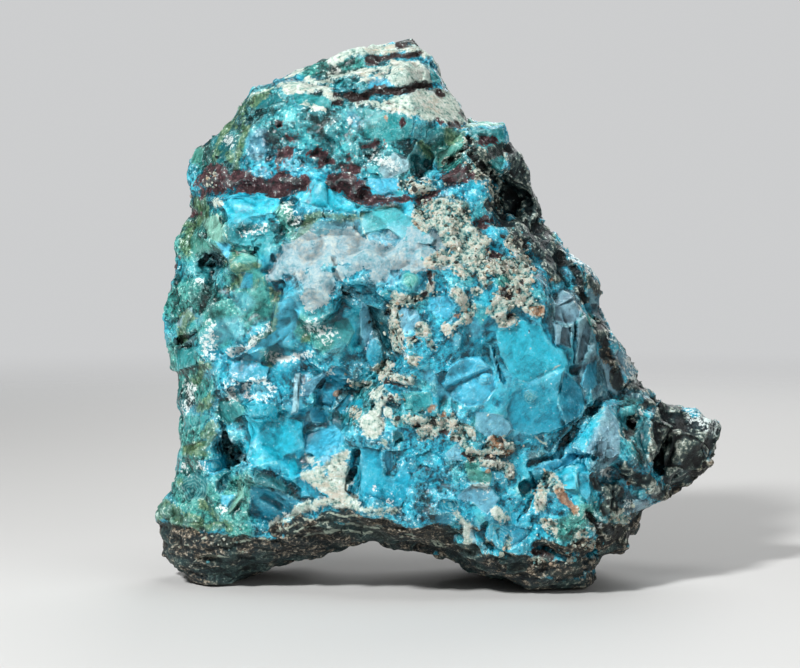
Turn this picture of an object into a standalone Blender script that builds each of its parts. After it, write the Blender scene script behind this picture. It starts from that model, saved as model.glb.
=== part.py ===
"""A chrysocolla specimen: one broken piece of blue-green copper silicate on host rock, on two feet.

The stone is shaped as a sculptor would block it out. Its outline, seen from the front, is cut from a slab.
The slab's two faces are then moved onto flat facets, hollows are sunk into the front and bulges raised on
it, chips are knocked off the whole surface, and the undersides of both feet are cut flat. The stone faces
-Y, stands on z = 0, and has its origin on the floor under the middle of its box.
"""

import math

import bmesh
import bpy
import numpy as np
from mathutils import Vector, noise

MM = 0.001  # every size below is in millimetres, and becomes metres where it meets Blender

# Driving sizes
SLAB_HALF = 24.0  # half the thickness of the slab that the outline is cut from
COARSE_GRAIN = 0.8  # size of the clay's cells while the faces are laid out
FINE_GRAIN = 0.6  # size of the clay's cells while it is chipped
TRIANGLES = 9600  # what the finished surface is thinned out to
FRONT_CARE = 0.55  # how readily the front is thinned, where the back and the sides are 1
FOOT_CUT = 0.9  # how much is cut off below the feet to leave flat soles
SHORTEST_EDGE = 0.2  # corners of the soles that are closer than this are merged
CREASE = 0.3  # how soft the crease between two facets is
RIM_HALF = 2.0  # half the thickness left at the outline, where front and back meet
RIM_BACK = 3.0  # how far behind the middle plane the rim runs
RIM_WANDER = 5.0  # how far the rim strays forwards and backwards
RIM_CURVE = 1.6  # how square the faces turn towards the rim: 1 is a straight bevel, 2 is round
ROUND_RIM = 7.5  # width of the band beside the outline where the faces turn towards the rim
ROUND_WANDER = 3.0  # how much that width varies
ROUND_FOOT = 1.0  # the same band at the feet, where it is narrow so that the soles are long
FOOT_BAND = 13.0  # height above the floor over which the band widens

# The outline seen from the front, clockwise from the left foot: x to the right, z up.
OUTLINE = (
    (-43.3, 0.2), (-41.1, 0.0), (-37.0, 0.2), (-34.3, 1.4), (-30.3, 2.3), (-28.2, 3.6), (-20.8, 5.4),
    (-19.4, 6.3), (-15.4, 6.7), (-12.7, 7.4), (-9.1, 6.7), (-2.8, 5.8), (1.7, 4.9), (5.9, 3.4),
    (7.5, 2.3), (14.3, 1.1), (18.8, 0.2), (21.9, 0.0), (25.6, 0.2), (27.8, 2.2), (29.3, 5.0),
    (34.5, 6.8), (35.4, 9.0), (37.0, 11.5), (38.8, 12.8), (44.9, 14.8), (46.2, 16.6), (49.4, 19.1),
    (51.2, 22.0), (51.4, 24.5), (52.1, 26.1), (51.6, 28.1), (49.6, 29.2), (47.4, 30.4), (44.9, 31.0),
    (41.9, 31.5), (41.1, 33.8), (39.7, 34.7), (37.9, 35.3), (36.3, 37.3), (35.9, 39.8), (34.8, 42.1),
    (32.7, 43.2), (32.0, 45.5), (30.5, 48.2), (29.6, 52.0), (30.0, 54.0), (28.7, 56.0), (25.5, 59.4),
    (20.2, 63.7), (18.3, 67.1), (17.9, 70.0), (16.3, 73.4), (15.6, 76.5), (14.2, 78.6), (12.6, 79.2),
    (12.4, 81.0), (11.9, 82.2), (11.9, 84.0), (5.3, 83.9), (4.6, 85.3), (2.1, 88.7), (0.6, 91.4),
    (-0.8, 93.8), (-3.0, 95.9), (-3.9, 97.2), (-7.3, 97.2), (-10.5, 96.8), (-14.1, 97.2), (-17.5, 97.0),
    (-19.9, 95.2), (-22.0, 94.1), (-25.3, 93.4), (-27.8, 91.8), (-30.7, 90.4), (-33.0, 89.8),
    (-35.0, 87.5), (-39.7, 83.0), (-42.0, 81.4), (-44.5, 79.4), (-45.5, 76.7), (-46.0, 73.6),
    (-45.1, 70.4), (-45.1, 66.2), (-47.4, 61.0), (-47.8, 58.5), (-50.3, 51.5), (-51.0, 48.8),
    (-50.7, 45.2), (-48.1, 36.9), (-46.9, 27.5), (-47.6, 21.8), (-49.0, 17.3), (-50.8, 14.4),
    (-51.9, 12.2), (-51.0, 10.4), (-50.5, 7.7), (-49.8, 4.5), (-48.5, 2.3), (-46.0, 1.3),
)

# Facets. Each is x, z, how far its middle stands out from the middle plane, how many degrees it leans to
# the right and upwards (negative: to the left, downwards), and how much wider it is than its neighbours.
FRONT_FACETS = {
    "banded cap": (
        (-10, 96, 3, 0, 35, 0), (-18, 95, 4, -10, 30, 0), (-2, 94, 4, 20, 25, 0),
        (-23.5, 92, 7, -15, 22, 1), (-12.5, 92.5, 8.5, 0, 20, 1), (-3.5, 91, 9.5, 10, 12, 1),
        (-25.5, 88.5, 9.5, -12, 18, 1), (-16.5, 89, 10.5, 0, 14, 1), (0, 85.5, 11.5, 18, 8, 1.5),
        (-8, 86.5, 11.5, 2, 10, 1), (-32, 87.5, 7, -25, 25, 1),
    ),
    "upper blue face": (
        (-36, 84.5, 5.5, -35, 25, 0), (-28, 84, 11, -15, 8, 1.5), (-18, 84, 12.5, 0, 6, 2),
        (-7.5, 83, 13, 8, 4, 2), (-40.5, 80.5, 4, -45, 15, 1), (-42.5, 76.5, 3.5, -50, 0, 1),
        (-36, 77.5, 8.5, -32, 2, 1), (-30.5, 79.5, 11, -15, 0, 1.5), (-21.5, 79.5, 12.5, -3, -4, 1.5),
        (-13.5, 79.5, 13, 5, -3, 1), (-9, 76, 14.2, 0, -8, 1), (-28, 76, 12.5, -8, -12, 1),
        (-19, 76, 12.8, 0, -10, 1), (0, 77.5, 9, 25, -15, 0),
    ),
    "brown vein": (
        (-40.5, 72.5, 7.5, -35, 0, 1), (-33.5, 72, 11.5, -15, -4, 1), (-25.5, 71.5, 13.5, -6, -6, 1),
        (-16.5, 70.5, 14, 3, -6, 1), (-9, 71.5, 15, 6, 5, 1), (-3, 70.5, 16, 8, 5, 1),
    ),
    "turquoise ledge": (
        (-37, 67, 12.5, -28, 0, 0.5), (-34.5, 68, 15.5, -10, 5, 1), (-29, 67, 16.5, -5, -3, 1),
        (-21.5, 69.5, 17.5, 0, 5, 1.5), (-17, 68, 18, 8, 2, 1),
    ),
    "green blocks": (
        (-34.5, 62.5, 12.5, -12, -25, 1), (-28, 62.5, 15.5, -20, 10, 1), (-43.5, 64, 7, -40, 5, 1),
        (-40.5, 59.5, 10, -35, -5, 1), (-46, 58.5, 4, -48, 0, 0), (-36, 56, 15.5, -15, -8, 1.5),
        (-31.5, 54, 17, -10, 0, 1),
    ),
    "green left side": (
        (-47, 50.5, 5, -45, 0, 1), (-45, 46, 7, -35, -10, 0.5), (-38, 49, 15.5, -14, 5, 1.5),
        (-40.5, 44.5, 13.5, -22, -5, 1), (-33.5, 45, 17.5, -8, -4, 1.5), (-45, 40, 7.5, -38, 4, 1),
        (-42.5, 34.5, 9.5, -30, 0, 1), (-45, 29, 7.5, -38, 5, 1), (-43.3, 24.5, 10.5, -28, -8, 1),
        (-46, 18, 8.5, -35, 5, 1.5), (-41.5, 16.5, 12.5, -20, 0, 1),
    ),
    "pale dome": (
        (-23.5, 62.5, 17, -12, 35, 1.5), (-16.5, 63, 18, 0, 38, 1.5), (-10, 64, 18.5, 2, 25, 1),
        (-26, 57.5, 19.5, -22, 10, 1), (-20, 57, 22, -6, 10, 2), (-12.5, 57.5, 23, 2, 12, 2),
        (-5.5, 59.5, 22, 8, 18, 2), (-3, 63, 19.5, 8, 28, 1), (-23.5, 52.5, 21, -8, -8, 1.5),
        (-13.5, 54, 20, 4, -15, 1),
    ),
    "cream crust": (
        (2.5, 66, 18, 8, 20, 1.5), (5.5, 58.5, 20.5, 10, 15, 1.5), (-2, 52.5, 22.5, 4, 0, 1.5),
        (7, 52.5, 21, 10, 4, 1.5), (14.5, 52.5, 18.5, 20, 8, 1), (11.5, 61.5, 15.5, 28, 22, 1),
        (0, 45, 23, 3, 2, 1.5), (-4.5, 36, 23, -2, 0, 1.5), (7, 45, 21.5, 6, 6, 1),
    ),
    "dark upper right": (
        (7.5, 77.5, 12, 10, 0, 1.8), (9, 82, 9.5, 10, 25, 0.8), (2.5, 72, 15.5, 15, 10, 1),
        (6, 68.5, 15.5, 25, 10, 0.8), (12, 70, 4, 10, -10, 1), (15.5, 74, 5, 30, 0, 0.3),
        (16.5, 68.5, 5.5, 25, 0, 0), (17, 62.5, 8.5, 30, 20, 1), (23.5, 62.5, 3, 40, 35, 0),
        (21.5, 55, 9, 30, 15, 0.5), (27, 58, 5, 45, 20, 0), (28, 50.5, 5, 50, 5, 0.5),
    ),
    "grey-blue right side": (
        (21.5, 49, 15, 20, 8, 1.5), (27, 42.5, 10.5, 40, 4, 1.5), (29.5, 38, 8.5, 45, 0, 1),
        (33, 40, 4, 50, 10, 0.5), (23.5, 36, 15.5, 25, -4, 1),
    ),
    "blue scoop": (
        (-25.5, 47, 16, 5, -20, 1), (-34.5, 40, 15.5, -6, 14, 1.5), (-28, 41.5, 14.5, 5, 12, 1),
        (-19, 45, 16.5, -4, -5, 1.5), (-16.5, 41.5, 16, 6, -8, 1), (-12, 44, 15.5, -25, 0, 0.5),
        (-25.5, 37, 14.5, 6, 10, 1.5), (-33.5, 34.5, 15, -5, 25, 1), (-17.5, 34.5, 13, -22, 8, 1),
        (-22.5, 30, 13, -15, 8, 1), (-27, 28, 14, 5, 10, 1), (-37, 31, 12.5, -15, 5, 0.5),
        (-30, 23.5, 16.5, -4, 5, 1.5), (-25.5, 18, 16.5, 10, -12, 1), (-37, 23.5, 10, 10, 0, 0),
    ),
    "left foot": (
        (-36, 14.5, 14, -8, 5, 1), (-30, 14.5, 13, 4, -25, 1), (-48.5, 11, 7, -45, 0, 1),
        (-43.5, 11, 11.5, -20, 0, 1), (-38, 10, 13, -8, -10, 1), (-32.5, 11, 14, 0, -10, 1),
        (-47, 4.5, 7, -30, -20, 1), (-40.5, 4, 9, -8, -30, 1.5), (-32.5, 6.5, 10.5, 0, -40, 1.5),
        (-25.5, 7.5, 12, 2, -45, 1),
    ),
    "pale rind": (
        (-25.5, 12.8, 16, -5, -15, 0.5), (-18, 13.5, 18, 0, -10, 1), (-21.5, 9, 14, 0, -45, 1),
        (-12.5, 9, 15.5, 2, -45, 1), (-7.5, 7.5, 17, 5, -30, 1), (0, 6, 16, 4, -40, 1),
        (9, 3.5, 14.5, 4, -45, 1), (21.5, 1.5, 13.5, 10, -40, 1),
    ),
    "middle ridge": (
        (-12.5, 31, 21.5, -14, 0, 1), (-11, 25.5, 21.5, -8, -2, 1), (-17, 24.5, 18, -14, 0, 1),
        (-20, 19, 18.5, -10, -10, 1), (-10, 18, 20.5, 2, -4, 2),
    ),
    "right blue face": (
        (5.5, 36, 21.8, 4, 3, 3), (16, 41.5, 19.5, 12, 8, 2.5), (14.5, 34.5, 20.5, 8, 0, 1.5),
        (19.5, 31.5, 18.5, 14, -6, 1.5), (-2, 29, 22, 2, -4, 1.5), (7, 29, 21.5, 5, -4, 1.5),
        (14.5, 25.5, 19.5, 10, -8, 1), (22.5, 28.5, 16, 22, -14, 1.5), (-2, 20, 21.5, 0, 0, 2),
        (7, 18, 21.5, 2, -12, 2), (-2, 12, 20, 0, -18, 1.5), (7, 11, 20, 4, -14, 1.5),
        (10.5, 20, 20, 8, 0, 1),
    ),
    "right foot": (
        (21.5, 18, 21, 6, 12, 1.5), (21.5, 13, 21, 4, -4, 1.5), (26.5, 17, 19, 30, 2, 1),
        (14.5, 11, 19.5, 0, -10, 1), (10.5, 6.5, 17.5, 0, -25, 1), (19.5, 6.5, 17.5, 4, -25, 1),
        (27, 7.5, 14, 32, -15, 1),
    ),
    "spike": (
        (30, 26.5, 17, 18, 10, 1.5), (26.6, 27, 18, -50, 10, 0),
    ),
    "dark right side": (
        (33.5, 33, 8.5, 30, 10, 0.5), (37, 27, 10, 22, 0, 1), (33.5, 20.5, 12.5, 22, -2, 1),
        (37.5, 14.5, 8.5, 20, -15, 1), (31, 12.5, 14, 24, -5, 1.2), (35, 10.5, 9.5, 25, -25, 0.8),
        (40.5, 23.5, 3, 10, 0, 0.5), (31, 6.5, 11, 20, -30, 0.5),
    ),
    "tail": (
        (46.7, 29, -2, 5, 55, 0.5), (45, 23.5, 1, 12, -5, 1), (49.5, 25.5, -2, 25, 0, 0.5),
        (45, 19, -2, 8, -40, 1),
    ),
}
BACK_FACETS = {
    "upper back": (
        (-35, 82, 7, -28, 18, 1), (-14, 92, 7, 5, 38, 1), (-25, 74, 15, -14, 6, 3),
        (-5, 80, 12, 8, 22, 2), (8, 72, 13, 24, 4, 2), (-43, 70, 8, -38, 0, 1),
    ),
    "middle back": (
        (-44, 52, 9, -40, 5, 2), (-30, 58, 16, -16, -6, 2), (-10, 60, 18.5, 2, 10, 3),
        (12, 60, 14, 22, 14, 2), (22, 52, 11.5, 38, 8, 1), (-40, 36, 13, -30, -2, 2),
        (-22, 40, 20, -8, 6, 3), (2, 42, 19, 6, -6, 3), (22, 38, 16.5, 24, 4, 2), (33, 34, 11, 36, 6, 1),
    ),
    "lower back": (
        (-42, 16, 12.5, -32, -8, 2), (-26, 20, 19, -10, -4, 3), (-8, 18, 17.5, 4, -14, 2),
        (10, 22, 20.5, 0, 4, 3), (8, 9, 18.5, 4, -12, 2), (28, 18, 16, 22, -5, 2),
        (44, 24, 11, 20, 4, 2), (36, 14, 12, 24, -18, 1),
    ),
}

# Hollows sunk into the front: x, z, half the length, half the width, how many degrees the length is turned
# from +x, and the depth.
HOLLOWS = (
    (13.2, 69.5, 5.0, 3.0, -50, 7.0), (9.2, 73.4, 3.6, 1.3, -52, 5.0), (13.6, 76.6, 2.2, 1.7, 60, 4.0),
    (18.5, 65, 3.4, 1.5, -65, 3.0), (-3.5, 75.5, 3.0, 1.9, 80, 3.5), (1.4, 76, 3.6, 1.3, 35, 2.5),
    (2.6, 81, 2.2, 0.9, -20, 2.5), (-41.3, 57.4, 3.0, 2.3, -30, 4.5), (-41.9, 52.2, 5.0, 1.0, 72, 4.0),
    (-45.5, 43.4, 3.0, 1.3, 20, 3.5), (-37.7, 25.0, 5.2, 1.4, -62, 6.5),
    (-15.6, 20.9, 2.9, 0.9, 80, 3.0), (24.2, 38, 1.5, 1.3, 90, 2.5), (33.2, 30.4, 2.4, 1.8, 60, 4.0),
    (40.4, 24.5, 5.5, 2.5, 80, 6.0), (-30.2, 58.3, 1.2, 0.9, 80, 2.0), (27, 9.2, 1.8, 1.1, 70, 2.5),
    (18, 5.6, 1.9, 1.1, 10, 1.5),
)

# Bulges raised on the front, in the same columns: the last one is how far they rise.
BULGES = (
    (-46, 16.4, 4.0, 4.0, 0, 1.6), (-45, 23.6, 4.0, 2.2, 10, 1.2), (-20, 46, 5.5, 4.5, 20, 1.6),
    (-32.5, 34, 5.5, 3.4, 10, 1.6), (-31.5, 22.7, 5.5, 4.8, 40, 2.2), (5.3, 36.2, 6.0, 5.4, 0, 1.0),
    (-11.8, 18.5, 4.5, 3.6, 60, 1.4), (7, 15.5, 5.5, 3.6, 0, 1.2), (36.6, 28.0, 5.0, 2.0, 85, 3.0),
    (33.8, 22.5, 2.6, 2.0, 30, 2.0), (36.8, 17.8, 2.8, 2.2, -20, 2.0), (33, 12.8, 3.2, 2.4, -40, 1.8),
    (30.8, 14.6, 2.8, 1.7, 75, 1.6), (28.6, 11, 2.8, 1.4, 80, 1.4), (37.7, 34.4, 2.3, 2.0, 0, 1.4),
    (-41.5, 47, 3.2, 2.4, 30, 1.0),
)

# Creases cut along a line: its corners, half its width, and its depth (negative: a ridge raised along it).
CREASES = (
    (((15.0, 20.3), (19.0, 21.6), (24.2, 25.2), (28.4, 32.2)), 1.5, 4.2),
    (((30.2, 32.4), (28.0, 27.4), (26.2, 23.4)), 1.9, -3.2),
    (((24.3, 47.5), (24.5, 39.0)), 0.8, 1.8),
    (((-12.6, 50.0), (-10.4, 46.5), (-9.4, 42.5), (-10.4, 39.5)), 1.7, 4.5),
    (((-11.5, 39.0), (-16.0, 35.0), (-22.5, 28.8)), 2.8, 2.0),
    (((-19.0, 56.0), (-17.8, 51.8), (-14.5, 49.8)), 0.9, 2.2),
    (((-14.5, 49.8), (-10.5, 50.2), (-7.5, 53.0)), 1.0, 1.2),
    (((-24.0, 52.0), (-29.0, 46.0), (-38.5, 38.5)), 1.4, 1.4),
    (((-34.3, 20.5), (-25.5, 14.5)), 1.6, 2.2),
    (((14.4, 20.0), (16.2, 16.4), (14.8, 12.0)), 1.1, 1.4),
    (((20.1, 62.8), (28.7, 54.5)), 1.6, -2.5),
    (((21.9, 59.6), (24.8, 53.3), (26.9, 49.7)), 1.6, 2.6),
    (((-45.0, 71.5), (-33.0, 71.0), (-24.0, 71.8)), 1.2, 1.2),
    (((-12.0, 68.2), (-5.0, 69.3), (2.0, 72.5)), 1.0, 1.2),
    (((-36.5, 57.5), (-29.5, 60.5), (-24.5, 64.5), (-17.0, 66.0)), 1.3, -1.4),
    (((-18.0, 87.0), (-8.0, 87.6), (3.0, 89.0)), 0.9, 1.2),
    (((-9.0, 36.0), (-6.0, 27.0), (-11.0, 21.0)), 1.2, 1.2),
)

SCALLOP_SIZE = 8.0  # size of the shell-shaped chips knocked off all over
SCALLOP_LEAN = 0.55  # how steeply a chip leans, as a slope
SCALLOP_BOWL = 0.30  # how hollow a chip is
SMALL_SCALLOP = 3.4  # size of the smaller chips between them
LARGE_BACK = 1.0  # how strong the large chips are on the back and the sides
LARGE_FRONT = 0.28  # and on the front
SMALL_BACK = 0.5  # the same for the small chips
SMALL_FRONT = 0.2
FRONT_EDGE = 3.0  # the front's share grows from this plane forwards,
FRONT_FADE = 7.0  # and is whole after this stretch
QUIET_RIM = 2.5  # the chips are weaker this close to the outline, so that it keeps its course
RIM_SCALLOPS = 0.55  # how strong they are at the outline itself
STONE_COLOUR = (0.05, 0.36, 0.43, 1.0)
STONE_ROUGHNESS = 0.45


def clear_scene():
    for obj in list(bpy.data.objects):
        bpy.data.objects.remove(obj, do_unlink=True)


def points_of(mesh):
    """The mesh's vertices as an array, in millimetres."""
    flat = np.empty(len(mesh.vertices) * 3)
    mesh.vertices.foreach_get("co", flat)
    return flat.reshape(-1, 3) / MM


def move_points(mesh, points):
    mesh.vertices.foreach_set("co", (points * MM).astype(np.float32).ravel())
    mesh.update()


def evaluated_mesh(obj):
    graph = bpy.context.evaluated_depsgraph_get()
    return bpy.data.meshes.new_from_object(obj.evaluated_get(graph))


def slab_from_outline(collection):
    """The outline as a filled curve, extruded to the slab's thickness and stood up to face -Y."""
    curve = bpy.data.curves.new("slab", "CURVE")
    curve.dimensions = "2D"
    curve.fill_mode = "BOTH"
    curve.extrude = SLAB_HALF * MM
    spline = curve.splines.new("POLY")
    spline.points.add(len(OUTLINE) - 1)
    for point, (x, z) in zip(spline.points, OUTLINE):
        point.co = (x * MM, z * MM, 0, 1)
    spline.use_cyclic_u = True
    slab = bpy.data.objects.new("slab", curve)
    collection.objects.link(slab)
    bpy.context.view_layer.update()
    mesh = evaluated_mesh(slab)
    bpy.data.objects.remove(slab)
    upright = Vector((0, 0, 1)).rotation_difference(Vector((0, -1, 0))).to_matrix().to_4x4()
    mesh.transform(upright)
    stone = bpy.data.objects.new("chrysocolla_specimen", mesh)
    collection.objects.link(stone)
    return stone


def remesh(stone, grain):
    """Makes the surface anew from even cells, as fresh clay."""
    voxels = stone.modifiers.new("clay", "REMESH")
    voxels.mode = "VOXEL"
    voxels.voxel_size = grain * MM
    bake_modifiers(stone)


def bake_modifiers(stone):
    bpy.context.view_layer.update()
    old = stone.data
    mesh = evaluated_mesh(stone)
    stone.modifiers.clear()
    stone.data = mesh
    bpy.data.meshes.remove(old)


def distance_to_lines(x, z, corners):
    """How far each point is from a line drawn through the corners."""
    nearest = np.full(len(x), np.inf)
    for (x0, z0), (x1, z1) in zip(corners, corners[1:]):
        along_x, along_z = x1 - x0, z1 - z0
        t = ((x - x0) * along_x + (z - z0) * along_z) / (along_x**2 + along_z**2)
        t = np.clip(t, 0, 1)
        nearest = np.minimum(nearest, np.hypot(x - x0 - t * along_x, z - z0 - t * along_z))
    return nearest


def wander(x, z, size, seed):
    """Smooth noise from -1 to 1 over the plane of the outline."""
    return np.array([noise.noise(Vector((a / size, seed, b / size))) for a, b in zip(x, z)])


def facet_relief(x, z, groups):
    """How far the facets stand out at each point. Each point takes the facet whose middle is nearest."""
    facets = [facet for group in groups.values() for facet in group]
    middle_x, middle_z, out, right, up, reach = (np.array(column, float) for column in zip(*facets))
    across = x[:, None] - middle_x
    rise = z[:, None] - middle_z
    away = np.hypot(across, rise) - reach
    share = np.exp((away.min(axis=1, keepdims=True) - away) / CREASE)
    height = out - np.tan(np.radians(right)) * across - np.tan(np.radians(up)) * rise
    return (share * height).sum(axis=1) / share.sum(axis=1)


def smooth_step(t):
    t = np.clip(t, 0, 1)
    return t * t * (3 - 2 * t)


def ovals(x, z, rows):
    """For each row of a table: how far each point is from the oval's middle, and the row's last value.

    The distance is 1 at the oval's edge.
    """
    for middle_x, middle_z, half_length, half_width, turn, height in rows:
        cos, sin = math.cos(math.radians(turn)), math.sin(math.radians(turn))
        along = ((x - middle_x) * cos + (z - middle_z) * sin) / half_length
        beside = ((z - middle_z) * cos - (x - middle_x) * sin) / half_width
        yield np.hypot(along, beside), height


def hollow_depth(x, z):
    """The depth of the hollows: steep walls, and a floor over half of their width."""
    depth = np.zeros(len(x))
    for away, deepest in ovals(x, z, HOLLOWS):
        depth = np.maximum(depth, deepest * smooth_step(2 * (1 - away)))
    return depth


def bulge_height(x, z):
    """The height of the bulges: low domes."""
    height = np.zeros(len(x))
    for away, highest in ovals(x, z, BULGES):
        height += highest * (1 - np.clip(away, 0, 1) ** 2) ** 1.5
    return height


def crease_depth(x, z):
    """V-shaped creases, and ridges where the depth is negative."""
    depth = np.zeros(len(x))
    for corners, half_width, deepest in CREASES:
        depth += deepest * np.clip(1 - distance_to_lines(x, z, corners) / half_width, 0, 1)
    return depth


def lay_out_faces(mesh):
    """Moves the slab's front and back onto their facets, and turns both towards the rim at the outline."""
    points = points_of(mesh)
    x, y, z = points.T
    warped_x = x + 0.9 * wander(x, z, 5.0, 3.1)
    warped_z = z + 0.9 * wander(x, z, 5.0, 8.4)
    front = -facet_relief(warped_x, warped_z, FRONT_FACETS) + hollow_depth(warped_x, warped_z)
    front += crease_depth(warped_x, warped_z) - bulge_height(x, z)
    back = facet_relief(x + 1.8 * wander(x, z, 9.0, 5.2), z + 1.8 * wander(x, z, 9.0, 6.6), BACK_FACETS)
    inwards = distance_to_lines(x, z, OUTLINE + OUTLINE[:1])
    tail_back = 4.0 * smooth_step((x - 34.0) / 8.0)
    rim = RIM_BACK + RIM_WANDER * wander(x, z, 24.0, 1.7) + tail_back
    widest = ROUND_RIM + ROUND_WANDER * wander(x, z, 11.0, 2.2)
    band = ROUND_FOOT + (widest - ROUND_FOOT) * smooth_step(z / FOOT_BAND)
    turn = (1 - (1 - np.clip(inwards / band, 0, 1)) ** RIM_CURVE) ** (1 / RIM_CURVE)
    front = (rim - RIM_HALF) * (1 - turn) + front * turn
    back = (rim + RIM_HALF) * (1 - turn) + back * turn
    depth = (y / SLAB_HALF + 1) / 2
    points[:, 1] = front * (1 - depth) + back * depth
    move_points(mesh, points)


def scallop_at(point, size):
    """The height left by shell-shaped chips.

    Space is divided into cells, each with a leaning bowl of its own, and the deepest bowl wins.
    """
    place = point / size
    middles = noise.voronoi(place)[1]
    bowls = []
    for middle in middles:
        lean = noise.cell_vector(middle * 3.7) * 2 - Vector((1, 1, 1))
        away = place - middle
        bowls.append(SCALLOP_LEAN * away.dot(lean) + SCALLOP_BOWL * away.length_squared)
    return size * min(bowls)


def knock_off_chips(mesh):
    """Large and small chips over the whole surface, along its normals, and weaker on the front."""
    points = points_of(mesh)
    inwards = distance_to_lines(points[:, 0], points[:, 2], OUTLINE + OUTLINE[:1])
    quiet = RIM_SCALLOPS + (1 - RIM_SCALLOPS) * smooth_step(inwards / QUIET_RIM)
    front = smooth_step((FRONT_EDGE - points[:, 1]) / FRONT_FADE)
    for i, vertex in enumerate(mesh.vertices):
        place = Vector(points[i])
        large = LARGE_BACK + (LARGE_FRONT - LARGE_BACK) * front[i]
        small = SMALL_BACK + (SMALL_FRONT - SMALL_BACK) * front[i]
        rise = large * scallop_at(place, SCALLOP_SIZE) + small * scallop_at(place, SMALL_SCALLOP)
        points[i] += np.array(vertex.normal) * rise * quiet[i]
    move_points(mesh, points)


def thin_out(stone, triangles):
    """Fewer, larger triangles, and more of them left where the surface bends and on the front."""
    mesh = stone.data
    care = stone.vertex_groups.new(name="care")
    for vertex in mesh.vertices:
        care.add([vertex.index], FRONT_CARE if vertex.normal.y < -0.3 else 1.0, "REPLACE")
    fewer = stone.modifiers.new("fewer", "DECIMATE")
    fewer.ratio = triangles / sum(len(face.vertices) - 2 for face in mesh.polygons)
    fewer.use_collapse_triangulate = True
    fewer.vertex_group = care.name
    fewer.vertex_group_factor = 1.0
    bake_modifiers(stone)


def cut_soles(mesh):
    """Cuts the feet flat, sets the cut on the floor, and puts the origin under the middle of the stone."""
    shape = bmesh.new()
    shape.from_mesh(mesh)
    everything = shape.verts[:] + shape.edges[:] + shape.faces[:]
    cut = bmesh.ops.bisect_plane(
        shape, geom=everything, plane_co=(0, 0, FOOT_CUT * MM), plane_no=(0, 0, -1), clear_outer=True
    )
    rim = [part for part in cut["geom_cut"] if isinstance(part, bmesh.types.BMVert)]
    bmesh.ops.remove_doubles(shape, verts=rim, dist=SHORTEST_EDGE * MM)
    bmesh.ops.holes_fill(shape, edges=[edge for edge in shape.edges if edge.is_boundary])
    bmesh.ops.triangulate(shape, faces=shape.faces)
    lowest = Vector([min(vertex.co[axis] for vertex in shape.verts) for axis in range(3)])
    highest = Vector([max(vertex.co[axis] for vertex in shape.verts) for axis in range(3)])
    middle = (lowest + highest) / 2
    bmesh.ops.translate(shape, verts=shape.verts, vec=(-middle.x, -middle.y, -lowest.z))
    bmesh.ops.recalc_face_normals(shape, faces=shape.faces)
    shape.to_mesh(mesh)
    shape.free()


def stone_material():
    material = bpy.data.materials.new("chrysocolla")
    material.use_nodes = True
    shader = material.node_tree.nodes["Principled BSDF"]
    shader.inputs["Base Color"].default_value = STONE_COLOUR
    shader.inputs["Roughness"].default_value = STONE_ROUGHNESS
    return material


def build():
    clear_scene()
    collection = bpy.data.collections.new("chrysocolla specimen")
    bpy.context.scene.collection.children.link(collection)
    stone = slab_from_outline(collection)
    remesh(stone, COARSE_GRAIN)
    lay_out_faces(stone.data)
    remesh(stone, FINE_GRAIN)
    knock_off_chips(stone.data)
    thin_out(stone, TRIANGLES)
    cut_soles(stone.data)
    stone.data.materials.append(stone_material())
    stone.data.shade_flat()
    return stone


build()
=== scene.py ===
# %% [markdown]
# # A chrysocolla specimen
#
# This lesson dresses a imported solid, a hand-sized lump of chrysocolla, in its real surface. The stone
# is one natural piece: blue copper silicate that fills a broken grey-brown rock, with a green rind, a
# purple-brown vein, a banded cap and patches of crumbly cream crust. The frame gives the solid, which
# is never moved, and everything here is laid over it. All sizes in the script are in millimetres.

# %% The frame
import math

import bmesh
import bpy
import numpy as np
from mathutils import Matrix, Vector


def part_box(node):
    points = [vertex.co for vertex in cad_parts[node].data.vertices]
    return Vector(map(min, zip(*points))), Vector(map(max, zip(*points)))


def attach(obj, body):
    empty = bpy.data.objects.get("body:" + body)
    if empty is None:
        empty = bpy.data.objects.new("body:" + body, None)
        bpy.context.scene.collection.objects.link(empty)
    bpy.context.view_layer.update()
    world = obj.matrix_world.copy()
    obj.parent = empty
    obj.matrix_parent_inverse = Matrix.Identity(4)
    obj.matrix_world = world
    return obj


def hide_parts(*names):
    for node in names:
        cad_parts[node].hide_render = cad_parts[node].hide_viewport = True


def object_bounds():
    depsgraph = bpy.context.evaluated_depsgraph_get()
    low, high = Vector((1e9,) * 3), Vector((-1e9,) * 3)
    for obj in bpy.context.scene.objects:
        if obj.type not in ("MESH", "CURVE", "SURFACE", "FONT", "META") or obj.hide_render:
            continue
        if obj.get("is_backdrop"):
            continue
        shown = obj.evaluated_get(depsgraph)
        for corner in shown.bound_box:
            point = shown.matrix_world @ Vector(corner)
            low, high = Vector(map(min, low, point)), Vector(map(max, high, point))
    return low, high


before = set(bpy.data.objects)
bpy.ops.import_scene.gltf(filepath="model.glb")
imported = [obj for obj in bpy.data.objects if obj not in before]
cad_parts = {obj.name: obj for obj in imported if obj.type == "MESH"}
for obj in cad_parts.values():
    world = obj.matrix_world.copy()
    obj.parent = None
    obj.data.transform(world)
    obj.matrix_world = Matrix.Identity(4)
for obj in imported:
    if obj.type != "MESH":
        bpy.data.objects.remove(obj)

MM = 0.001
SAME_POINT = 0.001 * MM  # points closer than this are one
NODE = "chrysocolla_specimen"
BODY = "root"
cad_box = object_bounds()
low, high = (np.array(corner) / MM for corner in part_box(NODE))
middle = (low + high) / 2
print("solid, mm:", np.round(high - low, 1))

# %% [markdown]
# ## The eye and the layout sheet
#
# The face of the stone is a picture: veins, bands and cracks lie at definite places on it. It could be
# unwrapped to a flat map, but a rough stone unwraps badly. Instead a sheet is held up at the middle of
# the stone, square to the eye that looks at it, and each point of the stone is given its place on that
# sheet, across and up, in millimetres. Marks are then drawn on the sheet as simple strokes.

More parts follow.
